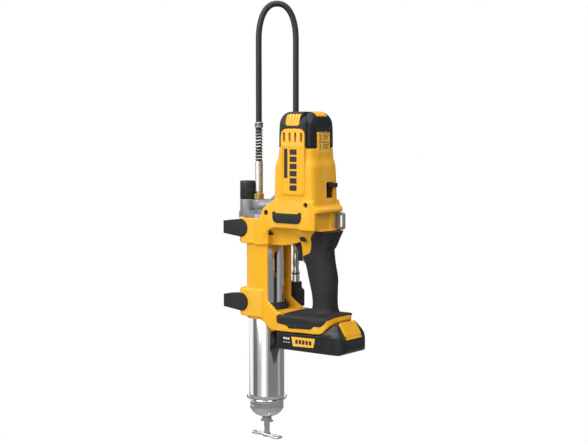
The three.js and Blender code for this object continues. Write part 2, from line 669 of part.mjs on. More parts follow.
const BATTERY_OUTLINE = shapeOf([
  [47, -173], [134.5, -171], [152.5, -153], [157, -151.5], [172, -177], [177, -186], [175, -196], [170, -199],
  [54, -199], [47, -193],
]);
const GAUGE = { x: 133, z: -184 };
// Middle and slope of the release button's face.
const RELEASE = { x: 161.5, z: -165.5, angle: -Math.atan2(25.5, 15) };
function releaseBlock(length, width, depth, out) {
  return solid(
    new THREE.BoxGeometry(length, width, depth)
      .translate(0, 0, -depth / 2 + out)
      .rotateY(-RELEASE.angle)
      .translate(RELEASE.x + 3, 0, RELEASE.z + 1.2),
  );
}
function batteryCase() {
  const plan = roundRect(40, 177.2, -FOOT_HALF, FOOT_HALF, 12);
  const hull = spread(BATTERY_OUTLINE, -FOOT_HALF, FOOT_HALF).intersect(raised(plan, -210, -140));
  const room = cut(box(52, 151, -34, 34, -196, -175), box(118, 160, -40, 40, -173, -100));
  return cut(
    join(
      cut(hull, room, box(50, 124, -18, 18, -176, -170)),
      box(52, 128, -25.5, -18, -174, -156.5),
      box(52, 128, 18, 25.5, -174, -156.5),
    ),
    releaseBlock(30.4, 40.6, 12, 5),
    across(3.3, -60, -30, GAUGE.x, GAUGE.z),
  );
}
const releaseButton = () => releaseBlock(29.4, 39.4, 8, 3.6);
const gaugeButton = () => across(3, -FOOT_HALF - 0.8, -FOOT_HALF + 3, GAUGE.x, GAUGE.z);

// --- Assembly ---

const parts = [];
const add = (name, shape, material) => parts.push(piece(name, shape, material));

function addHousing() {
  add("housing_left", leftOf(housingWhole()), YELLOW);
  add("housing_right", rightOf(housingWhole()), YELLOW);
  const cap = endShell();
  add("motor_end_cap", cap, BLACK);
  for (const [side, word] of [[-1, "left"], [1, "right"]]) {
    add(`cap_vent_insert_${word}`, ventInsert(side), YELLOW);
    add(`side_pad_${word}`, spreadSide(padOutline(), side, BODY_HALF - 1.5, BODY_HALF + 2.6), RUBBER);
  }
  add("cap_vent_insert_rear", rearGrille(), YELLOW);
  add("grip_cover_left", leftOf(gripCover()), RUBBER);
  add("grip_cover_right", rightOf(gripCover()), RUBBER);
  FEET.forEach((foot) => add(foot.name, footShape(foot), RUBBER));
  add("barrel_collar", barrelCollar(), RUBBER);
  for (const s of SCREWS) {
    const seat = seatOf(s);
    const head = sided(s, SCREW_HEAD_R, -seat - SCREW_HEAD, -seat - GAP);
    add(s.name, join(sided(s, SCREW_R, -seat - 1, 24), head), STEEL);
  }
  for (const [side, word] of [[-1, "left"], [1, "right"]]) {
    const shank = acrossSide(side, SCREW_R, 14, 35.4, 12);
    const head = acrossSide(side, SCREW_HEAD_R, 35.1, 36.4);
    add(`screw_pump_head_${word}`, join(shank, head), STEEL);
  }
}

// The black cap over the top of the motor, cut out round the housing's arches and its label panel.
const VENT = { x0: 66, x1: 92, low: 154, near: 24 }; // the yellow grille on each flank of the cap
const REAR_GRILLE = { x: 98, half: 13, low: 168.4 };
const proud = (sections, by, up) => loft(grown(sections, by).map((s) => ({ ...s, n: s.n + 2, z: s.z + up })));

function endShell() {
  const flat = spread(roundRect(SPINE.x0, SPINE.x1, 110, 172, 9), -BODY_HALF - 0.6, BODY_HALF + 0.6);
  const spine = cut(
    flat.intersect(box(0, 200, -60, 60, CAP_BASE + GAP, 180)),
    bothSides((side) => sideBox(side, 0, 200, 30, 60, 172, 180)),
  );
  const outside = join(loft(CAP_SECTIONS), spine.intersect(proud(CAP_SECTIONS, 2.6, 0)));
  const inside = loft(
    grown(CAP_SECTIONS, -3).map((s) => ({ ...s, z: s.z === CAP_BASE + GAP ? CAP_BASE - 5 : s.z - 3 })),
  );
  const outer = bothSides((side) => sideBox(side, 0, 200, 28, 60, 0, 200));
  const arches = spread(archShape(GAP), -60, 60).intersect(outer);
  const { x, left, right, high } = LABEL_TAB;
  const tab = box(x - GAP, 130, left - GAP, right + GAP, 100, high + GAP);
  const seats = bothSides((side) =>
    sideBox(side, VENT.x0 - GAP, VENT.x1 + GAP, VENT.near, 60, VENT.low - GAP, 190),
  );
  return cut(outside, inside, arches, tab, seats, grilleSpace(0), housingWhole());
}

// The space of the grille at the back of the cap's crown, drawn in by a margin.
function grilleSpace(margin) {
  const { x, half, low } = REAR_GRILLE;
  const m = margin;
  const space = box(x + m, 130, m - half, half - m, low + m, 190);
  return cut(space, loft(grown(CAP_SECTIONS, m - 2.2)));
}
const rearGrille = () => grilleSpace(GAP).intersect(loft(grown(CAP_SECTIONS, 0.5)));

function ventInsert(side) {
  const block = spreadSide(roundRect(VENT.x0, VENT.x1, VENT.low, 174.5, 5), side, 26, BODY_HALF + 0.4);
  const body = block.intersect(proud(CAP_SECTIONS, 2.6, 1.2));
  const ribs = [];
  for (let i = 0; i < 4; i++) {
    const x = 69.4 + 5.6 * i;
    ribs.push(sideBox(side, x, x + 1.8, BODY_HALF - 1.6, 60, 158, 190));
  }
  return cut(body, ...ribs);
}

function addDrive() {
  add("motor", upright(23, 82, 140, MOTOR_X, 0, 32), COPPER);
  const fan = turned([[0, 142], [26, 142], [26, 150], [20, 150], [18, 145], [0, 145]], MOTOR_X, 0, 24);
  add("cooling_fan", cut(fan, upright(2, 100, 200, MOTOR_X)), BLACK);
  const shaft = join(upright(1.8, 140.3, 156, MOTOR_X, 0, 12), upright(4, 152, 156, MOTOR_X, 0, 12));
  add("motor_shaft", shaft, STEEL);
  add("gearbox", cut(upright(28, 46, 81.6, MOTOR_X, 0, 32), upright(5.4, 40, 60, MOTOR_X)), CASTING);
  add("drive_cam", cam(), STEEL);
  add("plunger", plungerRod(), STEEL);
  add("switch_module", box(95, 112, -9, 9, -60, -34), BLACK);
  add("terminal_block", box(60, 110, -16, 16, -155, -148), BLACK);
}

function addControls() {
  add("trigger", trigger(), BLACK);
  add("lock_off_button", lockOff(), BLACK);
  add("speed_selector", speedSelector(), BLACK);
  add("strap_ring", strapRing(), CASTING);
}

function addPumpAndHose() {
  add("pump_head", pumpHead(), CASTING);
  add("relief_valve_cap", upright(13.2, 34.4, 63.5, RELIEF_X, 0, 32), RUBBER);
  add("hose_fitting", hoseFitting(), BRASS);
  add("spring_guard", springGuard(), WIRE);
  add("guard_ferrule", guardFerrule(), STEEL);
  add("grease_hose", hose(), RUBBER);
  add("hose_ferrule", hoseFerrule(), STEEL);
  add("coupler_body", couplerBody(), STEEL);
  add("coupler_collar", couplerCollar(), STEEL);
  add("coupler_dock", couplerDock(), RUBBER);
}

function addBarrel() {
  add("barrel_tube", barrelTube(), STEEL);
  add("cap_flange", capFlange(), STEEL);
  add("end_cap", endCap(), STEEL);
  add("rod_lock", lockNut(), STEEL);
  add("follower_rod", pullRod(), STEEL);
  add("tee_handle", teeHandle(), STEEL);
  add("follower_plate", followerPlate(), STEEL);
  add("follower_cup", followerCup(), RUBBER);
  const pitch = (-26 - -300) / SPRING_TURNS;
  add("follower_spring", coil(21.5, 1.2, [[SPRING_TURNS, pitch]], 4, 10, 0, 0, -302), STEEL);
}

function addBattery() {
  add("battery_case", batteryCase(), BLACK);
  add("battery_release", releaseButton(), YELLOW);
  add("gauge_button", gaugeButton(), RUBBER);
  for (let i = 0; i < 5; i++) {
    add(`battery_cell_${i + 1}`, across(9, -32.5, 32.5, 62.4 + 18.8 * i, -185.6, 16), CASTING);
  }
}

addHousing();
addDrive();
addControls();
addPumpAndHose();
addBarrel();
addBattery();

const tool = new THREE.Group();
tool.position.set(-GRIP.x, 0, -GRIP.z);
tool.add(...parts);
const root = new THREE.Group();
root.add(tool);
export default root;
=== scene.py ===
# Shapes are made in the tool's own millimetres: the barrel's axis is Z, X runs back from the barrel to
# the grip, and -Y is the tool's left. place() moves them into the frame's metres.
import json
import math
import bmesh
import bpy
from mathutils import Matrix, Vector


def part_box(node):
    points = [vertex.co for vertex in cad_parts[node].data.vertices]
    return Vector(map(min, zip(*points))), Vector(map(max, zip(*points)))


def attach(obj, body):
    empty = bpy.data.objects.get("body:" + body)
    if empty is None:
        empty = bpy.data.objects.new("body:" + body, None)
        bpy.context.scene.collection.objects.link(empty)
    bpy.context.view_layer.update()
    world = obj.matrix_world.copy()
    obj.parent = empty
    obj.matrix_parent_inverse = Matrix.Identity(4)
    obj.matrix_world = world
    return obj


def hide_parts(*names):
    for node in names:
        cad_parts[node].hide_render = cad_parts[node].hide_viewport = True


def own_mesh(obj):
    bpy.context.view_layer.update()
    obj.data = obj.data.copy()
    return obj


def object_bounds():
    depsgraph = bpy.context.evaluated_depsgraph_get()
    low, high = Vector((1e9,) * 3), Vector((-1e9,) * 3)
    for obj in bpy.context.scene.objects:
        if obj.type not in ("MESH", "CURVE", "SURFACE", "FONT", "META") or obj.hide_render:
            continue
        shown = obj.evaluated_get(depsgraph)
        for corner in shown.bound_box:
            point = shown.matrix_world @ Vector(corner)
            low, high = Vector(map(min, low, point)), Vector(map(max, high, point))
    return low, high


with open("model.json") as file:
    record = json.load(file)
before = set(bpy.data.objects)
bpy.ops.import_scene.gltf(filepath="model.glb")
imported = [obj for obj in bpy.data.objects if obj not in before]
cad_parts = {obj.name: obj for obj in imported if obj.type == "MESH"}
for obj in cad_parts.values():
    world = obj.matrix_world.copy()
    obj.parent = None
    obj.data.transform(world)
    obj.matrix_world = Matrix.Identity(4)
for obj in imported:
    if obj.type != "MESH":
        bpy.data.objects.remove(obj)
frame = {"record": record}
cad_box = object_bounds()

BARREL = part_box("barrel_tube")
ORIGIN = Vector(((BARREL[0][0] + BARREL[1][0]) / 2, 0, BARREL[1][2] + 0.008))
TOOL = Matrix.Translation(ORIGIN) @ Matrix.Scale(0.001, 4)
CLEAR = 0.35  # between neighbouring pieces

HOSE_R = 4.9
HOSE_X = -15.5
DOCK = (26.8, 43.2)
MOTOR_X = 78
BODY_HALF = 36.5
FOOT_HALF = 37
CAP_BASE = 119
DECK = 6


def tool(x, y, z):
    return TOOL @ Vector((x, y, z))


# --- Camera, light and floor ---

def look(position, target, obj):
    obj.location = position
    obj.rotation_euler = (target - position).to_track_quat("-Z", "Y").to_euler()


CAMERA_ANGLES = (37, 4.7)
CAMERA_DISTANCE = 2.171
CAMERA_LENS = 82.04


def add_camera():
    data = bpy.data.cameras.new("camera")
    data.sensor_width = 36
    data.lens = CAMERA_LENS
    data.clip_end = 50
    camera = bpy.data.objects.new("camera", data)
    bpy.context.scene.collection.objects.link(camera)
    azimuth, elevation = [math.radians(a) for a in CAMERA_ANGLES]
    back = Vector((math.sin(azimuth) * math.cos(elevation), -math.cos(azimuth) * math.cos(elevation),
        math.sin(elevation)))
    target = tool(35.5, 26.7, 0)
    look(target + back * CAMERA_DISTANCE, target, camera)
    bpy.context.scene.camera = camera


def area_light(name, position, target, size, power, size_y=None):
    data = bpy.data.lights.new(name, "AREA")
    data.shape = "RECTANGLE"
    data.size = size
    data.size_y = size_y or size
    data.energy = power
    lamp = bpy.data.objects.new(name, data)
    bpy.context.scene.collection.objects.link(lamp)
    look(Vector(position), target, lamp)
    return lamp


def add_world():
    world = bpy.data.worlds.new("studio")
    bpy.context.scene.world = world
    world.use_nodes = True
    nodes, links = world.node_tree.nodes, world.node_tree.links
    nodes.clear()
    out = nodes.new("ShaderNodeOutputWorld")
    white = nodes.new("ShaderNodeBackground")
    white.inputs["Color"].default_value = (1, 1, 1, 1)
    white.inputs["Strength"].default_value = 1.0
    room = nodes.new("ShaderNodeBackground")
    room.inputs["Strength"].default_value = 1.3
    # The room round the table: light walls with a few dark uprights between them, which polished metal shows.
    direction = nodes.new("ShaderNodeTexCoord")
    split = nodes.new("ShaderNodeSeparateXYZ")
    turn = nodes.new("ShaderNodeMath")
    turn.operation = "ARCTAN2"
    scale = nodes.new("ShaderNodeMapRange")
    scale.inputs["From Min"].default_value = -math.pi
    scale.inputs["From Max"].default_value = math.pi
    ramp = nodes.new("ShaderNodeValToRGB")
    ramp.color_ramp.elements[0].position = 0.0
    ramp.color_ramp.elements[0].color = ROOM[0][1]
    ramp.color_ramp.elements[1].position = 1.0
    ramp.color_ramp.elements[1].color = ROOM[0][1]
    for position, color in ROOM[1:]:
        ramp.color_ramp.elements.new(position).color = color
    seen = nodes.new("ShaderNodeLightPath")
    mix = nodes.new("ShaderNodeMixShader")
    links.new(direction.outputs["Generated"], split.inputs[0])
    links.new(split.outputs["Y"], turn.inputs[0])
    links.new(split.outputs["X"], turn.inputs[1])
    links.new(turn.outputs[0], scale.inputs["Value"])
    links.new(scale.outputs[0], ramp.inputs["Fac"])
    links.new(ramp.outputs["Color"], room.inputs["Color"])
    links.new(seen.outputs["Is Camera Ray"], mix.inputs["Fac"])
    links.new(room.outputs[0], mix.inputs[1])
    links.new(white.outputs[0], mix.inputs[2])
    links.new(mix.outputs[0], out.inputs["Surface"])


def grey(value):
    return (value, value, value, 1)


# Brightness of the room by direction, as a fraction of a turn from -X round by -Y.
ROOM = [
    (0.0, grey(0.8)), (0.058, grey(0.8)), (0.092, grey(0.13)), (0.165, grey(0.13)), (0.185, grey(0.32)),
    (0.262, grey(0.5)), (0.272, grey(1.3)), (0.318, grey(1.3)), (0.338, grey(0.6)), (0.372, grey(0.36)),
    (0.385, grey(0.17)), (0.565, grey(0.17)), (0.58, grey(0.33)), (0.612, grey(0.33)), (0.63, grey(0.17)),
    (0.84, grey(0.2)), (0.9, grey(0.75)),
]


# Far enough below for the barrel to come off downwards and its rod to be pulled out.
FLOOR_DROP = 0.56


def add_floor():
    mesh = bpy.data.meshes.new("floor")
    low = cad_box[0][2] - FLOOR_DROP
    mesh.from_pydata([(-8, -8, low), (8, -8, low), (8, 8, low), (-8, 8, low)], [], [(0, 1, 2, 3)])
    floor = bpy.data.objects.new("floor", mesh)
    bpy.context.scene.collection.objects.link(floor)
    material = bpy.data.materials.new("floor")
    material.use_nodes = True
    nodes, links = material.node_tree.nodes, material.node_tree.links
    shader = nodes["Principled BSDF"]
    shader.inputs["Base Color"].default_value = (0.36, 0.36, 0.36, 1)
    shader.inputs["Roughness"].default_value = 0.95
    shader.inputs["Specular IOR Level"].default_value = 0.1
    # Plain white paper to look at, and a calmer grey in what the polished metal shows.
    paper = nodes.new("ShaderNodeEmission")
    paper.inputs["Color"].default_value = (1, 1, 1, 1)
    seen = nodes.new("ShaderNodeLightPath")
    mix = nodes.new("ShaderNodeMixShader")
    links.new(seen.outputs["Is Camera Ray"], mix.inputs["Fac"])
    links.new(shader.outputs[0], mix.inputs[1])
    links.new(paper.outputs[0], mix.inputs[2])
    links.new(mix.outputs[0], nodes["Material Output"].inputs["Surface"])
    mesh.materials.append(material)


# --- Materials ---

def new_material(name):
    material = bpy.data.materials.new(name)
    material.use_nodes = True
    tree = material.node_tree
    return material, tree.nodes, tree.links, tree.nodes["Principled BSDF"]


def ramp_node(nodes, low, high, start=0.35, end=0.65):
    ramp = nodes.new("ShaderNodeValToRGB")
    ramp.color_ramp.elements[0].position = start
    ramp.color_ramp.elements[0].color = low
    ramp.color_ramp.elements[1].position = end
    ramp.color_ramp.elements[1].color = high
    return ramp


def object_noise(nodes, links, scale, detail=4, stretch=(1, 1, 1)):
    here = nodes.new("ShaderNodeTexCoord")
    mapping = nodes.new("ShaderNodeMapping")
    mapping.inputs["Scale"].default_value = stretch
    cloud = nodes.new("ShaderNodeTexNoise")
    cloud.inputs["Scale"].default_value = scale
    cloud.inputs["Detail"].default_value = detail
    links.new(here.outputs["Object"], mapping.inputs["Vector"])
    links.new(mapping.outputs["Vector"], cloud.inputs["Vector"])
    return cloud


def shaded(color, factor):
    return tuple(min(1, c * factor) for c in color[:3]) + (1,)


def surface(name, color, roughness, metallic=0.0, tone=0.06, grain=1800, bump=0.12, patch=25, spread=0.08,
            wear=None, stretch=(1, 1, 1), specular=0.5, depth=0.0002):
    """Patches of slightly different colour and roughness, a fine grain, and lighter worn edges."""
    material, nodes, links, shader = new_material(name)
    shader.inputs["Metallic"].default_value = metallic
    shader.inputs["Specular IOR Level"].default_value = specular
    patches = object_noise(nodes, links, patch, 5)
    tones = ramp_node(nodes, shaded(color, 1 - tone), shaded(color, 1 + tone))
    links.new(patches.outputs["Fac"], tones.inputs["Fac"])
    top = tones.outputs["Color"]
    if wear:
        edges = nodes.new("ShaderNodeNewGeometry")
        worn = ramp_node(nodes, grey(0), grey(1), 0.52, 0.58)
        flecks = object_noise(nodes, links, 160, 6)
        both = nodes.new("ShaderNodeMath")
        both.operation = "MULTIPLY"
        mix = nodes.new("ShaderNodeMix")
        mix.data_type = "RGBA"
        links.new(edges.outputs["Pointiness"], worn.inputs["Fac"])
        links.new(worn.outputs["Color"], both.inputs[0])
        links.new(flecks.outputs["Fac"], both.inputs[1])
        links.new(both.outputs[0], mix.inputs["Factor"])
        links.new(top, mix.inputs["A"])
        mix.inputs["B"].default_value = wear
        top = mix.outputs["Result"]
    links.new(top, shader.inputs["Base Color"])
    rough = nodes.new("ShaderNodeMapRange")
    rough.inputs["To Min"].default_value = max(0.02, roughness - spread)
    rough.inputs["To Max"].default_value = min(1, roughness + spread)
    links.new(patches.outputs["Fac"], rough.inputs["Value"])
    links.new(rough.outputs[0], shader.inputs["Roughness"])
    fine = object_noise(nodes, links, grain, 3, stretch)
    height = nodes.new("ShaderNodeBump")
    height.inputs["Strength"].default_value = bump
    height.inputs["Distance"].default_value = depth
    links.new(fine.outputs["Fac"], height.inputs["Height"])
    links.new(height.outputs["Normal"], shader.inputs["Normal"])
    return material


# Linear colours.
YELLOW_COLOR = (0.95, 0.47, 0.012, 1)
YELLOW = surface("yellow_nylon", YELLOW_COLOR, 0.42, tone=0.03, grain=1500, bump=0.10,
    wear=(1.0, 0.62, 0.12, 1))
RUBBER = surface("overmould_rubber", (0.020, 0.020, 0.022, 1), 0.62, tone=0.12, grain=2200, bump=0.35,
    wear=(0.05, 0.05, 0.05, 1), specular=0.35)
BLACK = surface("black_nylon", (0.012, 0.012, 0.014, 1), 0.42, tone=0.1, grain=1600, bump=0.12,
    wear=(0.06, 0.06, 0.06, 1), specular=0.4)
BATTERY_BLACK = surface("battery_nylon", (0.012, 0.014, 0.016, 1), 0.38, tone=0.1, grain=1600, bump=0.14,
    wear=(0.07, 0.07, 0.07, 1))
CHROME = surface("polished_steel", (0.86, 0.87, 0.89, 1), 0.11, 1.0, tone=0.02, grain=900, bump=0.02,
                 patch=14,
    spread=0.035, stretch=(1, 1, 0.02))
STEEL = surface("turned_steel", (0.66, 0.66, 0.67, 1), 0.27, 1.0, tone=0.05, grain=700, bump=0.08, patch=60,
    stretch=(0.05, 0.05, 1))
DARK_STEEL = surface("blackened_steel", (0.05, 0.05, 0.052, 1), 0.4, 0.8, tone=0.1, grain=900, bump=0.1,
    patch=80)
WIRE = surface("plated_wire", (0.78, 0.77, 0.74, 1), 0.3, 1.0, tone=0.06, grain=900, bump=0.05, patch=90)
CASTING = surface("cast_aluminium", (0.30, 0.30, 0.31, 1), 0.5, 0.75, tone=0.08, grain=900, bump=0.3,
                  patch=60,
    wear=(0.75, 0.75, 0.75, 1), depth=0.0003)
BRASS = surface("machined_brass", (0.72, 0.52, 0.22, 1), 0.3, 1.0, tone=0.06, grain=800, bump=0.08, patch=80)
HOSE = surface("hose_cover", (0.020, 0.020, 0.022, 1), 0.5, tone=0.08, grain=1400, bump=0.2, patch=40,
    stretch=(1, 1, 0.3))
CELL = surface("cell_wrap", (0.12, 0.16, 0.2, 1), 0.3, tone=0.1, patch=40)
MARK_DARK = surface("dark_print", (0.02, 0.02, 0.02, 1), 0.5, tone=0.05, grain=800, bump=0.05)
MARK_LIGHT = surface("light_print", (0.75, 0.75, 0.75, 1), 0.5, tone=0.05, grain=800, bump=0.05)

CAD_MATERIALS = {
    "housing_yellow": YELLOW, "soft_rubber": RUBBER, "black_plastic": BLACK, "polished_steel": CHROME,
    "spring_wire": WIRE, "machined_steel": STEEL, "cast_head": CASTING, "brass": BRASS, "hose_rubber": HOSE,
    "motor_metal": STEEL, "cell_wrap": CELL,
}


# --- Mesh tools, in millimetres ---

def mesh_object(name, points, faces):
    mesh = bpy.data.meshes.new(name)
    mesh.from_pydata([tuple(p) for p in points], [], faces)
    obj = bpy.data.objects.new(name, mesh)
    bpy.context.scene.collection.objects.link(obj)
    shell = bmesh.new()
    shell.from_mesh(mesh)
    bmesh.ops.remove_doubles(shell, verts=shell.verts, dist=1e-5)
    bmesh.ops.recalc_face_normals(shell, faces=shell.faces)
    shell.to_mesh(mesh)
    shell.free()
    return obj


def bake(obj):
    """Apply every modifier on the object."""
    graph = bpy.context.evaluated_depsgraph_get()
    mesh = bpy.data.meshes.new_from_object(obj.evaluated_get(graph))
    obj.modifiers.clear()
    old = obj.data
    obj.data = mesh
    bpy.data.meshes.remove(old)
    return obj


def drop(*objects):
    for obj in objects:
        bpy.data.objects.remove(obj, do_unlink=True)


def modify(obj, kind, **settings):
    modifier = obj.modifiers.new(kind.lower(), kind)
    for key, value in settings.items():
        setattr(modifier, key, value)
    return bake(obj)


def boolean(obj, tools, operation="DIFFERENCE"):
    for other in tools:
        modifier = obj.modifiers.new("boolean", "BOOLEAN")
        modifier.operation = operation
        modifier.solver = "MANIFOLD"
        modifier.object = other
    bake(obj)
    drop(*tools)
    return obj


def cut(obj, *tools):
    return boolean(obj, tools)


def merge(*objects):
    """Put all the meshes in the first object."""
    shell = bmesh.new()
    for obj in objects:
        shell.from_mesh(obj.data)
    shell.to_mesh(objects[0].data)
    shell.free()
    drop(*objects[1:])
    return objects[0]


def copy(obj):
    twin = obj.copy()
    twin.data = obj.data.copy()
    bpy.context.scene.collection.objects.link(twin)
    return twin


def fillet(points, radius, steps=5):
    """Round the corners of a closed outline. A point may carry its own radius as a third number."""
    outline = []
    count = len(points)
    for i, point in enumerate(points):
        here = Vector(point[:2])
        r = point[2] if len(point) > 2 else radius
        before = Vector(points[i - 1][:2]) - here
        after = Vector(points[(i + 1) % count][:2]) - here
        angle = before.angle(after)
        if r <= 0 or abs(angle - math.pi) < 0.02:
            outline.append(here)
            continue
        reach = min(r / math.tan(angle / 2), before.length * 0.48, after.length * 0.48)
        start, end = here + before.normalized() * reach, here + after.normalized() * reach
        for k in range(steps + 1):
            t = k / steps
            outline.append((1 - t) ** 2 * start + 2 * t * (1 - t) * here + t * t * end)
    return outline


AXES = {"x": lambda a, b, h: (h, a, b), "y": lambda a, b, h: (a, h, b), "z": lambda a, b, h: (a, b, h)}


def prism(outline, axis, low, high):
    at = AXES[axis]
    n = len(outline)
    points = [at(a, b, low) for a, b in outline] + [at(a, b, high) for a, b in outline]
    faces = [tuple(range(n)), tuple(range(n, 2 * n))]
    faces += [(i, (i + 1) % n, n + (i + 1) % n, n + i) for i in range(n)]
    return mesh_object("prism", points, faces)


def outward(side, near, far):
    """Low and high Y of something that reaches from near to far on one side of the tool."""
    return sorted((side * near, side * far))


def block(x0, x1, y0, y1, z0, z1):
    return prism([(x0, y0), (x1, y0), (x1, y1), (x0, y1)], "z", z0, z1)


def round_rect(a0, a1, b0, b1, r, steps=5):
    return fillet([(a0, b0), (a1, b0), (a1, b1), (a0, b1)], r, steps)


def ring_faces(rings, sides, capped=True):
    faces = [(r * sides + i, r * sides + (i + 1) % sides, (r + 1) * sides + (i + 1) % sides,
        (r + 1) * sides + i) for r in range(rings - 1) for i in range(sides)]
    if capped:
        faces += [tuple(range(sides)), tuple(range((rings - 1) * sides, rings * sides))]
    return faces


def smooth_between(rows, steps):
    """Rows of numbers with more rows between them on a Catmull-Rom curve."""
    result = []
    for i in range(len(rows) - 1):
        p0, p1, p2 = rows[max(i - 1, 0)], rows[i], rows[i + 1]
        p3 = rows[min(i + 2, len(rows) - 1)]
        for k in range(steps):
            t = k / steps
            result.append([0.5 * (2 * b + (c - a) * t + (2 * a - 5 * b + 4 * c - d) * t * t
                + (3 * b - a - 3 * c + d) * t ** 3) for a, b, c, d in zip(p0, p1, p2, p3)])
    result.append(list(rows[-1]))
    return result


def loft(sections, sides=72, steps=4):
    """Level superellipses of (z, x, half length, half width, power), stacked."""
    rows = smooth_between(sections, steps) if steps > 1 else sections
    points = []
    for z, x, a, b, n in rows:
        for i in range(sides):
            t = 2 * math.pi * (i + 0.5) / sides
            c, s = math.cos(t), math.sin(t)
            points.append((x + a * math.copysign(abs(c) ** (2 / n), c),
                b * math.copysign(abs(s) ** (2 / n), s), z))
    return mesh_object("loft", points, ring_faces(len(rows), sides))


def grown(sections, by):
    return [(z, x, a + by, b + by, n) for z, x, a, b, n in sections]


def lathe(profile, x=0.0, y=0.0, sides=64, closed=False):
    """A profile of (radius, z) turned about an upright axis. A closed one leaves a hole down the middle."""
    points = [(x + r * math.cos(2 * math.pi * i / sides), y + r * math.sin(2 * math.pi * i / sides), z)
        for r, z in profile for i in range(sides)]
    faces = ring_faces(len(profile), sides, not closed)
    if closed:
        last = (len(profile) - 1) * sides
        faces += [(last + i, last + (i + 1) % sides, (i + 1) % sides, i) for i in range(sides)]
    return mesh_object("lathe", points, faces)


def bar(axis, r, low, high, a, b, sides=32):
    return prism([(a + r * math.cos(2 * math.pi * i / sides), b + r * math.sin(2 * math.pi * i / sides))
        for i in range(sides)], axis, low, high)


def sweep(points, radius, sides=16, closed=False):
    """A round tube along a path of points."""
    points = [Vector(p) for p in points]
    n = len(points)
    verts = []
    normal = None
    for i, p in enumerate(points):
        ahead = points[(i + 1) % n] if closed or i + 1 < n else p
        behind = points[i - 1] if closed or i else p
        along = (ahead - behind).normalized()
        if normal is None:
            normal = along.orthogonal().normalized()
        normal = (normal - along * normal.dot(along)).normalized()
        side = along.cross(normal)
        for k in range(sides):
            t = 2 * math.pi * k / sides
            verts.append(p + radius * (math.cos(t) * normal + math.sin(t) * side))
    faces = ring_faces(n, sides, not closed)
    if closed:
        last = (n - 1) * sides
        faces += [(last + i, last + (i + 1) % sides, (i + 1) % sides, i) for i in range(sides)]
    return mesh_object("sweep", verts, faces)


def capsule(x0, x1, r, y, z, sides=48, rings=10):
    """A bar along X with round ends."""
    profile = []
    for i in range(rings + 1):
        t = math.pi / 2 * i / rings
        profile.append((x0 - r * math.cos(t), r * math.sin(t)))
    for i in range(rings + 1):
        t = math.pi / 2 * i / rings
        profile.append((x1 + r * math.sin(t), r * math.cos(t)))
    profile = [(x, max(q, 0.01)) for x, q in profile]
    points = [(x, y + q * math.cos(2 * math.pi * i / sides), z + q * math.sin(2 * math.pi * i / sides))
        for x, q in profile for i in range(sides)]
    return mesh_object("capsule", points, ring_faces(len(profile), sides))


def soften(obj, voxel, passes, factor=0.5):
    """Melt the pieces into one skin with rounded edges."""
    modify(obj, "REMESH", mode="VOXEL", voxel_size=voxel)
    return modify(obj, "SMOOTH", factor=factor, iterations=passes)


def lighten(obj, faces):
    now = sum(len(p.vertices) - 2 for p in obj.data.polygons)
    if now > faces:
        modify(obj, "DECIMATE", ratio=faces / now)
    return obj


def bevel(obj, width, segments=3, angle=35):
    return modify(obj, "BEVEL", width=width, segments=segments, limit_method="ANGLE",
        angle_limit=math.radians(angle), harden_normals=False)


def place(obj, name, material, body, replaces=(), sharp=32):
    """Finish a piece: name it, move it into the frame, give it its material and let it ride."""
    obj.name = name
    obj.data.name = name
    obj.data.transform(TOOL)
    obj.data.materials.clear()
    obj.data.materials.append(material)
    obj.data.polygons.foreach_set("use_smooth", [True] * len(obj.data.polygons))
    obj.data.set_sharp_from_angle(angle=math.radians(sharp))
    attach(obj, body)
    if replaces:
        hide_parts(*replaces)
    return obj


def half(obj, side, gap=0.15):
    return boolean(obj, [block(-300, 300, *outward(side, gap, 200), -500, 500)], "INTERSECT")


# --- The hose ---

HOSE_START = 50
FERRULE_TOP = 6
LOOP_TOP = 349
LOOP_SHOULDER = 290
ARCH_POWER = 2.25


def hose_route():
    """The route of the hose: up, over in a superellipse, and down to the docked coupler."""
    def at(t, z):
        return (HOSE_X + (DOCK[0] - HOSE_X) * t, DOCK[1] * t, z)
    crown = 16
    points = [at(0, z) for z in (HOSE_START, 90, 130, 170, 210, 250)]
    for i in range(crown + 1):
        angle = math.pi * (1 - i / crown)
        c = math.cos(angle)
        sideways = math.copysign(abs(c) ** (2 / ARCH_POWER), c)
        rise = abs(math.sin(angle)) ** (2 / ARCH_POWER)
        points.append(at((1 + sideways) / 2, LOOP_SHOULDER + (LOOP_TOP - LOOP_SHOULDER) * rise))
    points += [at(1, z) for z in (250, 210, 170, 130, 90, 50, FERRULE_TOP)]
    return points


def smooth_path(points, steps):
    return [Vector(p) for p in smooth_between([list(p) for p in points], steps)]


def add_hose():
    path = smooth_path(hose_route(), 4)
    obj = sweep(path, HOSE_R, 20)
    return place(obj, "hose", HOSE, "tool", ["grease_hose"]), [TOOL @ p for p in path]


def coil_path(r, x, y, runs, per_turn=20):
    """A winding about an upright axis: runs of (turns, pitch) from a start height."""
    z = runs[0]
    turn = 0.0
    points = []
    for turns, pitch in runs[1:]:
        for _ in range(round(turns * per_turn)):
            points.append((x + r * math.cos(2 * math.pi * turn), y + r * math.sin(2 * math.pi * turn), z))
            turn += 1 / per_turn
            z += pitch / per_turn
    return points


def add_spring_guard():
    wire = 0.8
    close, open_pitch = 1.68, 4.95
    close_turns = (95 - 44.8) / close
    open_turns = (149.2 - 95) / open_pitch
    points = coil_path(HOSE_R + 0.3 + wire, HOSE_X, 0, [44.8, (close_turns, close), (open_turns, open_pitch)],
        14)
    obj = sweep(points, wire, 6)
    return place(obj, "spring_guard_wire", WIRE, "tool", ["spring_guard"])


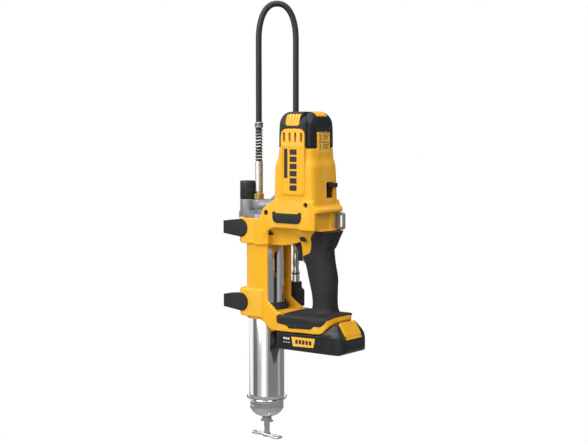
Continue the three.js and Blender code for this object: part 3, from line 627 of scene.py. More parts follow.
def add_guard_ferrule():
    profile = [(HOSE_R + 0.25, 150), (6.6, 150), (7, 150.5), (7, 152), (6.6, 152.4), (7, 152.9), (7, 158.2),
        (6.2, 159), (HOSE_R + 0.25, 159)]
    return place(lathe(profile, HOSE_X, 0, 40, True), "guard_end_ferrule", STEEL, "tool", ["guard_ferrule"],
        40)


def add_coupler():
    x, y = DOCK
    ferrule = lathe([(0.01, FERRULE_TOP - 0.4), (5.4, FERRULE_TOP - 0.4), (5.9, 5), (5.9, 1.5), (5.3, 0.8),
        (5.3, -1), (5.8, -1.8), (5.8, -5), (5.2, -5.8), (5.2, -8), (5.8, -8.8), (5.8, -12), (5.3, -12.8),
        (5.3, -40), (5.7, -40.6), (5.7, -44), (4.6, -45.5), (4.6, -50), (0.01, -50)], x, y, 40)
    body = lathe([(0.01, -50.4), (4.9, -50.4), (5.3, -50.9), (5.3, -74), (4.8, -75), (4.8, -79.5),
        (5.3, -80.5), (5.3, -84.5), (6, -84.8), (6.2, -86.2), (0.01, -86.2)], x, y, 40)
    hole = bar("y", 1.2, y - 8, y - 3, x + 0.5, -81.5, 16)
    cut(body, hole)
    collar = lathe([(0.01, -86.6), (6.1, -86.6), (6.3, -87.2), (6.3, -89.5), (5.8, -90.2), (5.8, -91),
        (6.3, -91.7), (6.3, -114), (5.3, -117.5), (0.01, -117.9)], x, y, 40)
    band = lathe([(6.25, -87.0), (6.8, -87.1), (7.0, -87.8), (6.8, -88.5), (6.25, -88.6)], x, y, 40, True)
    return [
        place(ferrule, "hose_crimp", STEEL, "tool", ["hose_ferrule"], 40),
        place(body, "coupler_barrel", STEEL, "tool", ["coupler_body"], 40),
        place(collar, "coupler_sleeve", STEEL, "tool", ["coupler_collar"], 40),
        place(band, "coupler_seal", RUBBER, "tool", (), 40),
    ]


def add_cord():
    obj, path = add_hose()
    pieces = [add_spring_guard(), add_guard_ferrule(), *add_coupler()]
    length = sum((b - a).length for a, b in zip(path, path[1:]))
    tuple(path[0])
    [tuple(p) for p in path]


# --- Housing ---

def column_plan(r, rear, steps=40):
    arc = [(-r * math.sin(math.pi * i / steps), r * math.cos(math.pi * i / steps)) for i in range(steps + 1)]
    return [(rear, r)] + arc + [(rear, -r)]


MOTOR_SECTIONS = [
    (15, MOTOR_X + 0.8, 41.8, 36.3, 5.8), (36, MOTOR_X + 0.8, 41.8, 36.3, 5.8),
    (60, MOTOR_X + 0.6, 41.2, 36.2, 5.8),
    (88, MOTOR_X + 0.3, 40.2, 36, 5.6), (94, MOTOR_X + 0.4, 39.2, 35.7, 5.4),
    (102, MOTOR_X + 0.9, 36.6, 34.7, 5.2),
    (108, MOTOR_X + 1.3, 35.5, 34.2, 5.2), (CAP_BASE - 0.2, MOTOR_X + 1.5, 34.8, 34, 5.2),
]
GRIP_SECTIONS = [
    (-150, 113, 31, 30, 3.1), (-144, 114.8, 27.2, 26, 2.8), (-138.5, 116.8, 22.8, 21, 2.5),
    (-132, 117.4, 20.6, 18.6, 2.3), (-122, 117.2, 20.1, 18, 2.2), (-109, 116.3, 21.3, 17.8, 2.2),
    (-98, 115.1, 23, 18, 2.2), (-84, 113.3, 25.1, 18.4, 2.2),
    (-70, 110.2, 25.5, 18.5, 2.2), (-58, 106.8, 26.4, 18.6, 2.25), (-46, 104.2, 27.4, 18.8, 2.3),
    (-34, 102.5, 28.6, 19.8, 2.3),
    (-24, 102.2, 29.4, 23, 2.5), (-15, 101.8, 30.2, 28.5, 3), (-6, 101, 31, 34, 4.5),
]
GRIP_SKIN = 2.4
FOOT_OUTLINE = [
    (4, -157.3, 3), (16, -158.3, 8), (26, -166, 6), (36, -171.2, 6), (131.5, -169, 2), (137, -166.6, 4),
    (149.5, -153, 3), (151.8, -148, 3), (150, -141.7, 2), (60, -141.5, 3), (47, -141, 3), (27, -125, 2),
    (4, -125, 2),
]
BODY_OUTLINE = [
    (4, -36.5, 0), (48, -36.5, 6), (62, -34.5, 8), (78, -30, 8), (91, -24, 6), (96, -9, 2), (122, -9, 2),
    (122, 18.5, 1.5),
    (131.5, 19.6, 1.2), (131.5, 24.5, 1.5), (121, 29, 2), (118, 37, 0), (42, 37, 3), (31, 29, 3),
    (27, 27.5, 3), (20, 22, 5),
    (13, DECK + 0.2, 3), (4, DECK, 0),
]
ARCH = (57.5, 103.5, 46, 149.5, 13)
WINDOW = (-37.4, -141.2, 29)


def arch_outline(margin=0.0):
    x0, x1, z0, z1, r = ARCH
    return fillet([(x0 - margin, z0 - margin, 7), (x1 + margin, z0 - margin, 7),
                   (x1 + margin, z1 + margin, r),
        (x0 - margin, z1 + margin, r)], r, 8)


FOOT_HEIGHTS = (-10.5, -130.5)
FOOT_FACE = -60


def foot_pad_outline(z, margin=0.0):
    m = margin
    arc = [(-26 + (14.4 + m) * math.sin(t), z - (14.4 + m) * math.cos(t))
        for t in [math.pi * i / 20 for i in range(21)]]
    return [(FOOT_FACE - m, z - 10.3 - m)] + arc + [(FOOT_FACE - m, z + 10.3 + m)]


def scoop(side):
    """The hollow under each side of the gear housing, where it draws in towards the fingers."""
    return capsule(46, 86, 27, side * 45.5, -32)


def trigger_guard():
    return loft([(-63, 90, 8.5, 11, 3), (-60, 90.5, 11, 13.5, 3), (-45, 91, 12, 15, 3),
        (-32, 92, 13.5, 18.5, 3), (-24, 91, 16, 22, 3), (-16, 89, 20, 27, 3), (-8, 88, 24, 33, 3),
        (0, 88, 26, 34.5, 3)], 48, 3)


FOOT_CROWN = [(39, -190), (39, -148.5), (34, -143), (22, -139.3), (0, -137.8)]


def crown(drop_by):
    """The rounded top of the battery foot, seen from behind."""
    half_profile = [(y, z - drop_by) for y, z in FOOT_CROWN]
    return prism(fillet(half_profile + [(-y, z) for y, z in half_profile[-2::-1]], 5, 4), "x", 50, 160)


def foot_plan(margin):
    m = margin
    return prism(fillet([(4, -32, 0), (30, -33, 20), (48, -FOOT_HALF - m, 14),
                         (151.8 + m, -FOOT_HALF - m, 24),
        (151.8 + m, FOOT_HALF + m, 24), (48, FOOT_HALF + m, 14), (30, 33, 20), (4, 32, 0)], 12, 6), "z", -180,
        -115)


def plinth(half_width, rear, low, high):
    w = half_width
    return prism(fillet([(-40.6, -19, 5), (-25, -w, 7), (rear, -w, 0), (rear, w, 0), (-25, w, 7),
        (-40.6, 19, 5)], 6), "z", low, high)


def housing_body():
    column = prism(column_plan(32.2, 27), "z", -157.3, DECK)
    lower = plinth(34.6, 18, -153, -109.5)
    cut(lower, prism([(-46, -144), (-46, -160), (-34, -160), (-34, -153)], "y", -60, 60))
    upper = plinth(35.3, 30, -35, DECK)
    body = prism(fillet(BODY_OUTLINE, 2, 4), "y", -BODY_HALF, BODY_HALF)
    plan = prism(fillet([(-2, -BODY_HALF, 0), (131.7, -BODY_HALF, 17), (131.7, BODY_HALF, 17),
        (-2, BODY_HALF, 0)], 10, 8), "z", -60, 60)
    boolean(body, [plan], "INTERSECT")
    cut(body, scoop(1), scoop(-1))
    foot = prism(fillet(FOOT_OUTLINE, 2, 4), "y", -FOOT_HALF, FOOT_HALF)
    boolean(foot, [foot_plan(0)], "INTERSECT")
    shoulders = block(58, 170, -50, 50, -148, -110)
    cut(shoulders, crown(3.4))
    cut(foot, shoulders)
    motor = loft(MOTOR_SECTIONS, 96, 3)
    spine = prism(arch_outline(), "y", -BODY_HALF - 1.3, BODY_HALF + 1.3)
    boolean(spine, [prism(fillet([(46, -38, 12), (114, -38, 12), (114, 38, 12), (46, 38, 12)], 12, 6), "z",
                          40,
        160)], "INTERSECT")
    grip = loft(grown(GRIP_SECTIONS, -GRIP_SKIN - CLEAR), 64, 3)
    cut(grip, block(121.8, 200, -60, 60, -9.4, 0))
    tab = prism(round_rect(-18, 14, 100, 144.5, 2), "x", 109.5, 115.4)
    lug = prism(round_rect(118, 126.4, 4, 27, 2), "z", -8.6, 17.8)
    pads = [block(-41.5, -31, side * 22 - 7, side * 22 + 7, z - 11, z + 11) for side in (-1, 1)
        for z in FOOT_HEIGHTS]
    return merge(column, lower, upper, body, foot, motor, spine, grip, tab, lug, trigger_guard(), *pads)


def housing_hollows():
    """The rooms inside, which show through the vents, the slot and the open back of the column."""
    under = [(31, -5), (21, -15), (16, -20.5), (13, -30)]
    low_room = prism([(-y, z) for y, z in under] + under[::-1], "x", 31, 70)
    room = prism([(33, 32), (-33, 32), (-31, -5.5), (31, -5.5)], "x", 31, 113)
    motor = loft(grown(MOTOR_SECTIONS, -3)[1:-1] + [(CAP_BASE + 60, MOTOR_X + 1.5, 31.4, 30.8, 5)], 64, 1)
    grip = loft(grown(GRIP_SECTIONS[2:-2], -GRIP_SKIN - 3), 48, 1)
    top, bottom, side = WINDOW
    back = block(0, 60, -side, side, bottom, top)
    return [room, low_room, motor, grip, back, bar("z", 29.2, -400, -2, 0, 0, 96),
        block(-30, 34, -32.6, 32.6, -20, 60), block(-36, -29, -15, 15, -20, 60),
        block(-62, -30, -14, 14, 2, 60), bar("x", 11.8, 30, 68, 0, 24), block(48, 131, -33, 33, -163, -146),
        block(48, 220, -26.2, 26.2, -200, -156)]


def lattice():
    """Diagonal ribs on the inside of the column's far wall."""
    ribs = []
    for i in range(9):
        z = -42 - i * 10.5
        for lean in (1, -1):
            rib = prism([(7, z - 5 * lean), (25.5, z + 5 * lean), (25.5, z + 5 * lean - 1.8),
                (7, z - 5 * lean - 1.8)], "y", 27.2, 29.4)
            ribs.append(rib)
    return ribs


# Where each screw is, and the Y of its head's seat.
SCREW_SPOTS = {
    "screw_gear_housing": (105, 31, -31),
    "screw_plinth_upper": (-36, -12, -17),
    "screw_plinth_lower": (-36, -132, -17),
    "screw_foot": (43, -156, 31),
    "screw_pump_head_left": (27.5, 16.6, -35.1),
    "screw_pump_head_right": (27.5, 16.6, 35.1),
}


def screw_reach(name, seat):
    """How far a screw goes: across to the other half, or into the pump head."""
    side = 1 if seat > 0 else -1
    return side, side * 14 if "pump" in name else -side * 24


def screw_wells():
    wells = []
    for name, (x, z, seat) in SCREW_SPOTS.items():
        side, end = screw_reach(name, seat)
        wells.append(bar("y", 4.1, *sorted((seat, side * 60)), x, z, 28))
        wells.append(bar("y", 2.3, *sorted((end - side * 2, side * 60)), x, z, 16))
    return wells


def add_housing():
    body = housing_body()
    modify(body, "REMESH", mode="VOXEL", voxel_size=0.9)
    cut(body, *housing_hollows())
    soften(body, 0.85, 4)
    ribs = lattice()
    vents = [prism(round_rect(62.1 + 11 * i, 66.4 + 11 * i, 129, 143.6, 1.2, 3), "y", -60, 60)
        for i in range(4)]
    slot = prism(round_rect(-1.2, 17.4, 41, 66, 1.8, 4), "x", 106, 140)
    guard_slot = block(54, 97, -10.2, 10.2, -61.6, -29.8)
    lock = prism(fillet([(84.6, -19.7), (87.7, -27.3), (97.3, -27.3), (94.3, -19.7)], 0.8, 3), "y", -60, 60)
    pads = [prism(pad_outline(0.3), "y", *outward(side, BODY_HALF - 1.8, 60)) for side in (-1, 1)]
    wraps = [prism(foot_rubber_outline(0.3), "y", *outward(side, FOOT_HALF - 2.8, 60)) for side in (-1, 1)]
    feet = [prism(foot_pad_outline(z, 0.3), "y", *outward(side, 33.2, 60)) for side in (-1, 1)
        for z in FOOT_HEIGHTS]
    fronts = [block(-72, -40.8, side * 27 - 12, side * 27 + 12, z - 16, z + 16) for side in (-1, 1)
        for z in FOOT_HEIGHTS]
    embossed = [prism(round_rect(*span, 2, 3), "y", *outward(side, BODY_HALF + 0.45, 60)) for side in (-1, 1)
        for span in [(60.8, 100.4, 50, 121.5)]]
    cut(body, *vents, slot, guard_slot, lock, *pads, *wraps, *feet, *fronts, *embossed, *screw_wells(),
        block(121.4, 140, 12.7, 21.3, -6, 15.5), bar("z", 1.7, -12, 20, 124.5, 17, 16))
    boolean(body, ribs, "UNION")
    lighten(body, 58000)
    other = copy(body)
    place(half(body, -1), "housing_shell_left", YELLOW, "tool", ["housing_left"])
    place(half(other, 1), "housing_shell_right", YELLOW, "tool", ["housing_right"])


# --- Pads and rubber ---

def pad_outline(margin=0.0):
    m = margin
    return fillet([(41.6 - m, 18.8 + m, 1.2), (41.6 - m, 9, 3), (43.5 - m, 4, 4), (48, 1.4 - m, 4),
        (90, 1.4 - m, 4), (94.3 + m, 4, 4), (96.2 + m, 9, 3), (96.2 + m, 18.8 + m, 1.2),
        (92.4 - m, 18.8 + m, 1.5), (91 - m, 16.4 + m, 1.5), (46.8 + m, 16.4 + m, 1.5),
        (45.4 + m, 18.8 + m, 1.5)], 3, 4)


def foot_rubber_outline(margin=0.0):
    m = margin
    return fillet([(48 - m, -149.5, 1.5), (49.5 - m, -157.5 - m, 2.5), (69.5, -160.6 - m, 1.2),
        (73, -164.6 - m, 2), (116, -162.2 - m, 2), (121, -157 - m, 2), (134, -157 - m, 4),
        (145 + m, -147.5 - m, 4), (151 + m, -141 - m, 2), (151, -130, 0), (60 - m, -130, 0),
        (59 - m, -141.6, 2), (50, -145.6 + m, 2)], 2, 4)


def add_side_pads():
    for side, word in ((-1, "left"), (1, "right")):
        pad = prism(pad_outline(), "y", *outward(side, BODY_HALF - 1.6, BODY_HALF + 2.4))
        bevel(pad, 0.8, 3)
        place(pad, f"side_pad_rubber_{word}", RUBBER, "tool", [f"side_pad_{word}"], 50)


FOOT_SPOTS = [(f"{level}_{word}", z, side) for level, z in zip(("upper", "lower"), FOOT_HEIGHTS)
    for word, side in (("left", -1), ("right", 1))]


def add_feet():
    for name, z, side in FOOT_SPOTS:
        tab = prism(foot_pad_outline(z), "y", *outward(side, 33.6, 37.4))
        wedge = prism([(FOOT_FACE, z - 10.3), (-41, z - 12.1), (-41, z + 12.1), (FOOT_FACE, z + 10.3)], "y",
            *outward(side, 16.2, 37.4))
        foot = merge(tab, wedge)
        soften(foot, 0.55, 5)
        lighten(foot, 2600)
        place(foot, f"rubber_foot_{name}", RUBBER, "tool", [f"foot_{name}"], 60)


def grip_body():
    sleeve = loft(GRIP_SECTIONS, 96, 4)
    nose = prism(fillet([(84.6, -50.5, 2), (97, -48.5, 0), (100, -72, 0), (94, -72, 3), (88.4, -61, 4),
        (84.6, -55, 2)], 2, 4), "y", -15.6, 15.6)
    horn = prism(fillet([(106, -30, 3), (118, -10, 0), (146, -9.6, 1), (133, -34, 10), (128, -40, 4)], 2, 4),
        "y", -24, 24)
    boolean(horn, [loft([(-45, 112, 22, 14, 2.2), (-25, 114, 26, 18, 2.4), (-9, 116, 29, 24, 3)], 64, 3)],
        "INTERSECT")
    cover = prism(fillet([(58.6, -152, 0), (60.6, -142, 2), (70, -139, 6), (94, -136, 8), (99, -130, 3),
        (137, -130, 3), (141, -134, 3), (150.6, -139.4, 2), (151.6, -141.1, 0.5), (140, -152, 0)], 2, 5), "y",
        -FOOT_HALF - 1.1, FOOT_HALF + 1.1)
    flanks = [prism(foot_rubber_outline(), "y", *outward(side, FOOT_HALF - 2.4, FOOT_HALF + 1.1))
        for side in (-1, 1)]
    saddle = boolean(cover, flanks, "UNION")
    boolean(saddle, [crown(0)], "INTERSECT")
    boolean(saddle, [foot_plan(1.1)], "INTERSECT")
    return merge(sleeve, nose, horn, saddle)


def add_grip_cover():
    cover = grip_body()
    modify(cover, "REMESH", mode="VOXEL", voxel_size=0.9)
    border = prism(fillet([(40, 20, 0), (40, -50.2, 0), (85, -50.2, 1), (92, -48.6, 2), (101, -44, 2.5),
        (104.3, -30, 6), (105.6, -21, 5), (112, -14.4, 5), (120, -9.2, 3), (160, -9.2, 0), (160, 20, 0)], 2,
        5), "y", -60, 60)
    guard = trigger_guard()
    cut(cover, border)
    cut(cover, loft(grown(GRIP_SECTIONS, -GRIP_SKIN), 64, 3))
    cut(cover, guard)
    foot = prism(fillet([(x, z + 0.3, *r) for x, z, *r in FOOT_OUTLINE], 2, 4), "y", -FOOT_HALF + 2.2,
        FOOT_HALF - 2.2)
    boolean(foot, [crown(3.2)], "INTERSECT")
    cut(cover, foot)
    soften(cover, 0.85, 5)
    grooves = []
    for side in (-1, 1):
        y0, y1 = outward(side, FOOT_HALF + 0.35, 60)
        grooves.append(prism(fillet([(60, -149.2), (112, -147.2), (112, -150), (60, -152)], 1, 3), "y", y0,
            y1))
        grooves.append(prism(fillet([(70, -153.8), (116, -152.4), (116, -154.8), (70, -156.2)], 1, 3), "y",
                             y0,
            y1))
    seam = prism([(120, -98.6), (160, -97.2), (160, -96.4), (120, -97.8)], "y", -40, 40)
    core = loft(grown(GRIP_SECTIONS, -0.6), 64, 3)
    cut(seam, core)
    cut(cover, *grooves, seam)
    lighten(cover, 34000)
    other = copy(cover)
    place(half(cover, -1, 0.1), "grip_rubber_left", RUBBER, "tool", ["grip_cover_left"])
    place(half(other, 1, 0.1), "grip_rubber_right", RUBBER, "tool", ["grip_cover_right"])


def add_barrel_collar():
    low, half_width = WINDOW[1], WINDOW[2] - CLEAR
    seat = lathe([(28.9, low + 0.3), (37, low + 0.3), (36.4, low + 4), (33, low + 9), (31, low + 11),
        (28.9, low + 11)], 0, 0, 96, True)
    boolean(seat, [block(0.8, 60, -half_width, half_width, -200, 0)], "INTERSECT")
    bevel(seat, 0.5, 2)
    place(seat, "barrel_seal", RUBBER, "tool", ["barrel_collar"], 50)


# --- End cap ---

CAP_SECTIONS = [
    (CAP_BASE + 0.4, MOTOR_X + 1.5, 34.9, 34.1, 5.2), (140, MOTOR_X + 1.5, 34.7, 34, 5.2),
    (156, MOTOR_X + 1.5, 34.3, 33.5, 5),
    (163, MOTOR_X + 1.3, 33.2, 32.2, 4.8), (169, MOTOR_X + 1, 30.8, 29.6, 4.4),
    (173.2, MOTOR_X + 0.6, 27, 25.6, 4.1),
    (175.6, MOTOR_X, 22, 20.6, 3.8), (176, MOTOR_X, 15, 14, 3.6),
]


def cap_skin(front, half_width, low, inner, outer):
    """A strip of the cap's own crown at the back, between two offsets from its face."""
    shell = loft([(z + outer, x, a + outer, b + outer, n) for z, x, a, b, n in CAP_SECTIONS], 96, 2)
    cut(shell, loft([(z + inner, x, a + inner, b + inner, n) for z, x, a, b, n in CAP_SECTIONS], 96, 2))
    return boolean(shell, [block(front, 140, -half_width, half_width, low, 190)], "INTERSECT")


def add_rear_grille():
    grille = cap_skin(98.3, 12.7, 168.7, -2.2, 0.5)
    cut(grille, *[boolean(cap_skin(90, 20, 150, -0.5, 4), [block(90, 140, y - 0.8, y + 0.8, 150, 190)],
        "INTERSECT") for y in (-8.4, -4.2, 0, 4.2, 8.4)])
    place(grille, "cap_insert_rear", YELLOW, "tool", ["cap_vent_insert_rear"], 40)


def add_end_cap():
    cap = loft(CAP_SECTIONS, 96, 4)
    shoulders = prism(fillet([(55.5, 121, 0), (105, 121, 0), (105, 160, 8), (99, 170.5, 8), (61, 170.5, 8),
        (55.5, 160, 8)], 8, 6), "y", -36.6, 36.6)
    lobes = loft([(z, x, a + 4, b + 2.6, n + 2.5) for z, x, a, b, n in CAP_SECTIONS[:-1]], 96, 2)
    boolean(shoulders, [lobes], "INTERSECT")
    cap = merge(cap, shoulders)
    modify(cap, "REMESH", mode="VOXEL", voxel_size=0.8)
    inside = loft([(z - (0 if i else 4) - (3 if z > 150 else 0), x, a - 3, b - 3, n)
        for i, (z, x, a, b, n) in enumerate(CAP_SECTIONS[:-1])], 64, 1)
    groove = []
    for side in (-1, 1):
        # The valley between the lobe over the vents and the one at the back.
        groove.append(bar("z", 2.2, 100, 200, 101.6, side * 36.8, 24))
    valley = sweep([(96, y, 177.9 - abs(y) ** 2.2 / 180) for y in range(-40, 41, 4)], 3.4, 16)
    rear = prism(round_rect(-19, 19, 149.4, 164, 3, 4), "x", 111.8, 130)
    cut(cap, inside, *groove, valley, rear)
    soften(cap, 0.75, 4)
    arches = [prism(arch_outline(0.35), "y", *outward(side, 26, 60)) for side in (-1, 1)]
    tab = prism(round_rect(-18.4, 14.4, 90, 144.9, 2), "x", 109.1, 130)
    seats = [block(65.7, 92.3, *outward(side, 26.6, 60), 153.6, 172.4) for side in (-1, 1)]
    cut(cap, *arches, tab, *seats, cap_skin(98, 13, 168.4, -2.5, 6))
    lighten(cap, 16000)
    place(cap, "motor_top_cap", BLACK, "tool", ["motor_end_cap"])
    for side, word in ((-1, "left"), (1, "right")):
        lobe = loft([(z + 0.4, x, a + 4, b + 2.2, n + 2.5) for z, x, a, b, n in CAP_SECTIONS], 96, 2)
        insert = prism(round_rect(66, 92, 153.9, 172.1, 4, 5), "y", *outward(side, 27, 60))
        boolean(insert, [lobe], "INTERSECT")
        bevel(insert, 0.5, 2, 50)
        ribs = []
        for i in range(4):
            x = 68.8 + 5.9 * i
            rib = prism(fillet([(x, 160), (x + 2.6, 160), (x + 2.6, 190), (x, 190)], 1, 3), "y",
                *outward(side, 20, 60))
            inner = loft([(z - 0.7, sx, a + 2.6, b + 0.9, n + 2.5) for z, sx, a, b, n in CAP_SECTIONS], 96, 2)
            cut(rib, inner)
            ribs.append(rib)
        cut(insert, *ribs)
        place(insert, f"cap_insert_{word}", YELLOW, "tool", [f"cap_vent_insert_{word}"], 40)


# --- Pump head ---

def add_pump_head():
    boss = lathe([(0.01, 2.4), (12.8, 2.4), (13.4, 3), (13.4, 33.3), (12.8, 34), (0.01, 34)], -38, 0, 64)
    port = lathe([(0.01, 10), (8.6, 10), (8.6, 18.5), (11.6, 19.6), (12.2, 20.4), (12.2, 33.2), (11.6, 33.8),
        (0.01, 33.8)], -14, 0, 64)
    slopes = [prism([(side * 21.8, 8), (side * 8, 17.5), (side * 8, 8)], "x", -24, 0) for side in (-1, 1)]
    deck = prism(fillet([(-29, -22, 3), (33, -22, 1), (33, 22, 1), (-29, 22, 3)], 3), "z", 2.4, 12.6)
    nose = prism(fillet([(-50, -11), (-28, -11), (-28, 11), (-50, 11)], 3), "z", 3, 14.5)
    rib = prism(fillet([(-30, -3.2), (33, -3.2), (33, 3.2), (-30, 3.2)], 1), "z", 10, 30)
    neck = bar("x", 11.2, -12, 48, 0, 24, 48)
    web = prism(fillet([(3, 28), (29.5, 50), (33.5, 52), (34, 28)], 1), "y", -7, -3)
    ears = [block(22, 32.6, *outward(side, 8, 32.2), 9.4, 23.6) for side in (-1, 1)]
    socket = lathe([(0.01, 12), (31.8, 12), (31.8, -18), (28.95, -18), (28.95, -5.6), (0.01, -5.6)], 0, 0, 96)
    head = merge(boss, port, *slopes, deck, nose, rib, neck, web, *ears, socket)
    soften(head, 0.7, 3)
    cut(head, bar("x", 5.3, -40, 80, 0, 24), bar("z", 3.6, 26, 60, HOSE_X, 0), bar("z", 5, -30, 21, 0, 0),
        *[bar("y", 2.3, *outward(side, 12, 60), 27.5, 16.6, 16) for side in (-1, 1)],
        lathe([(10.8, 30), (11.6, 30), (11.6, 40), (10.8, 40)], -38, 0, 48, True))
    lighten(head, 9000)
    place(head, "pump_casting", CASTING, "tool", ["pump_head"], 35)
    cap = lathe([(0.01, 34.3), (13.2, 34.3), (13.4, 34.7), (13.4, 62.4), (12.9, 63.3), (12.2, 63.6),
        (0.01, 63.6)], -38, 0, 72)
    cut(cap, *[bar("z", 0.9, 37, 60, -38 + 13.9 * math.cos(t), 13.9 * math.sin(t), 8)
        for t in [2 * math.pi * i / 24 for i in range(24)]])
    place(cap, "relief_cap", BLACK, "tool", ["relief_valve_cap"], 35)


def add_fitting():
    hexagon = prism([(HOSE_X + 8.9 * math.cos(math.pi / 3 * i + 0.2), 8.9 * math.sin(math.pi / 3 * i + 0.2))
        for i in range(6)], "z", 34.4, 43.5)
    chamfers = lathe([(0.01, 34.2), (7.9, 34.2), (9.1, 35.6), (9.1, 42.2), (7.9, 43.7), (0.01, 43.7)], HOSE_X,
        0, 64)
    boolean(hexagon, [chamfers], "INTERSECT")
    stem = lathe([(2, 29.6), (3.3, 29.6), (3.3, 38), (2, 38)], HOSE_X, 0, 32, True)
    neck = lathe([(2, 40), (4.9, 40), (4.9, 49.5), (2, 49.5)], HOSE_X, 0, 40, True)
    fitting = boolean(hexagon, [stem, neck], "UNION")
    cut(fitting, bar("z", 2, 20, 60, HOSE_X, 0, 24))
    place(fitting, "hose_nut", BRASS, "tool", ["hose_fitting"], 35)


# --- Barrel ---

def add_barrel():
    tube = lathe([(27.2, -8), (28.1, -8), (28.5, -8.5), (28.5, -282), (28.9, -283), (28.9, -285.2),
        (28.5, -286), (28.5, -289.6), (28.1, -290), (27.2, -290)], 0, 0, 128, True)
    place(tube, "barrel_shell", CHROME, "barrel", ["barrel_tube"], 40)
    cap = lathe([(5.2, -321), (8.6, -321), (11, -320.4), (18, -317.3), (22.5, -313.8), (25, -310.6),
        (25.6, -309.4), (25.6, -308.4), (27.2, -307.6), (27.4, -306.6), (27.4, -301.6), (26.6, -301),
        (26.6, -299.6), (27.4, -299), (27.4, -295.2), (26.4, -293.8), (26.4, -292.3), (24.3, -292.3),
        (24.3, -303.8), (12, -310), (5.2, -312)], 0, 0, 96, True)
    place(cap, "barrel_end_cap", CHROME, "barrel", ["end_cap"], 30)
    angle = math.atan2(0.6, 0.8)
    ring = sweep([(29.9 * math.cos(t), 29.9 * math.sin(t), -291)
        for t in [2 * math.pi * i / 72 for i in range(72)]], 0.95, 10, True)
    tips = []
    for turn in (angle, angle + math.pi):
        tip = prism(fillet([(28.6, -291.9), (31, -291.9), (33.0, -287), (31.7, -285.4), (30.6, -286),
            (31.2, -287.6), (30, -290.2), (28.6, -290.2)], 0.6, 3), "y", -4.2, 4.2)
        tip.data.transform(Matrix.Rotation(turn, 4, "Z"))
        tips.append(tip)
    flange = lathe([(26, -291.9), (29.9, -291.9), (29.9, -290.3), (26, -290.3)], 0, 0, 96, True)
    clip = merge(flange, ring, *tips)
    place(clip, "cap_clip", CHROME, "barrel", ["cap_flange"], 35)
    nut = prism([(8.4 * math.cos(math.pi / 3 * i), 8.4 * math.sin(math.pi / 3 * i)) for i in range(6)], "z",
        -327.6, -321.4)
    wings = prism(fillet([(-10.6, -4.6), (10.6, -4.6), (10.6, 4.6), (-10.6, 4.6)], 2.5, 5), "z", -330, -327.2)
    boolean(nut, [wings], "UNION")
    cut(nut, bar("z", 5, -400, 0, 0, 0))
    bevel(nut, 0.4, 2)
    place(nut, "rod_catch", STEEL, "barrel", ["rod_lock"], 35)


TEE_Z = -350


def add_follower():
    rod = lathe([(0.01, TEE_Z + 1), (4.6, TEE_Z + 1), (4.6, -342), (4.1, -341.6), (4.1, -339.6),
                 (4.6, -339.2),
        (4.6, -30.6), (4, -30), (0.01, -30)], 0, 0, 40)
    place(rod, "pull_rod", CHROME, "follower", ["follower_rod"], 35)
    loops = []
    for end in (-1, 1):
        path = []
        for x, y in fillet([(end * 6, -2.2), (end * 27, -6.6), (end * 30.2, -4), (end * 30.2, 4),
                            (end * 27, 6.6), (end * 6, 2.2)], 5, 6):
            path.append((x, y, TEE_Z - 2.4))
        loops.append(sweep(path, 2.1, 12, True))
    hub = lathe([(0.01, TEE_Z - 5.4), (5, TEE_Z - 5.4), (7, TEE_Z - 4), (7, TEE_Z - 0.8), (5.6, TEE_Z + 0.8),
        (0.01, TEE_Z + 0.8)], 0, 0, 40)
    tee = merge(hub, *loops)
    soften(tee, 0.4, 4)
    lighten(tee, 7000)
    tee.data.transform(Matrix.Rotation(math.radians(-10), 4, "Z"))
    place(tee, "tee_grip", CHROME, "follower", ["tee_handle"], 60)


def add_follower_spring():
    points = coil_path(21.5, 0, 0, [-301.8, (1.2, 1.6), (9, 29.4), (1.2, 1.6)], 28)
    obj = sweep(points, 1.2, 8)
    place(obj, "follower_coil", STEEL, "barrel", ["follower_spring"])
    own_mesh(obj)


# --- Controls ---

def add_trigger():
    hook = prism(fillet([(62.5, -31.8, 0.8), (68, -31.8, 3), (86, -31.8, 0), (86, -54, 1), (79, -60, 2),
        (70.5, -60, 2), (69.4, -57, 3), (70.6, -48, 6), (68.6, -39.5, 6), (62.2, -34.4, 1.2)], 2, 6), "y",
        -9.4, 9.4)
    soften(hook, 0.45, 4)
    lighten(hook, 3000)
    place(hook, "trigger_lever", BLACK, "trigger", ["trigger"], 50)
    lock = prism(fillet([(85.1, -20.1), (88.1, -26.9), (96.9, -26.9), (93.9, -20.1)], 0.8, 4), "y", -25.8,
        23.3)
    bevel(lock, 0.6, 3)
    place(lock, "lock_off", BLACK, "lock_off", ["lock_off_button"], 50)


def add_selector():
    shoe = block(107.6, 113.2, -3.5, 19.7, 55.2, 64)
    lever = prism(round_rect(5, 23.7, 57.4, 64.4, 2, 5), "x", 119.4, 124)
    stem = prism(round_rect(5, 16.7, 56.6, 64.4, 1.5, 4), "x", 113, 121)
    cut(lever, *[bar("z", 0.8, 40, 80, 124.2, y, 12) for y in (16, 18.2, 20.4)])
    knob = boolean(shoe, [stem, lever], "UNION")
    bevel(knob, 0.4, 2)
    place(knob, "selector_knob", BLACK, "speed_selector", ["speed_selector"], 40)
    # Painted shade: a black plate behind the selector slot, there to make the slot read dark like the shade
    # inside it.
    slot_shade_plate = prism(round_rect(-4, 20, 38, 69, 2, 4), "x", 105.2, 106.2)
    place(slot_shade_plate, "selector_slot_shade_plate", BLACK, "tool", (), 40)
    glide = prism(round_rect(0.5, 5, 43, 53, 1, 4), "x", 106.1, 107.2)
    place(glide, "selector_glide", STEEL, "tool", (), 40)


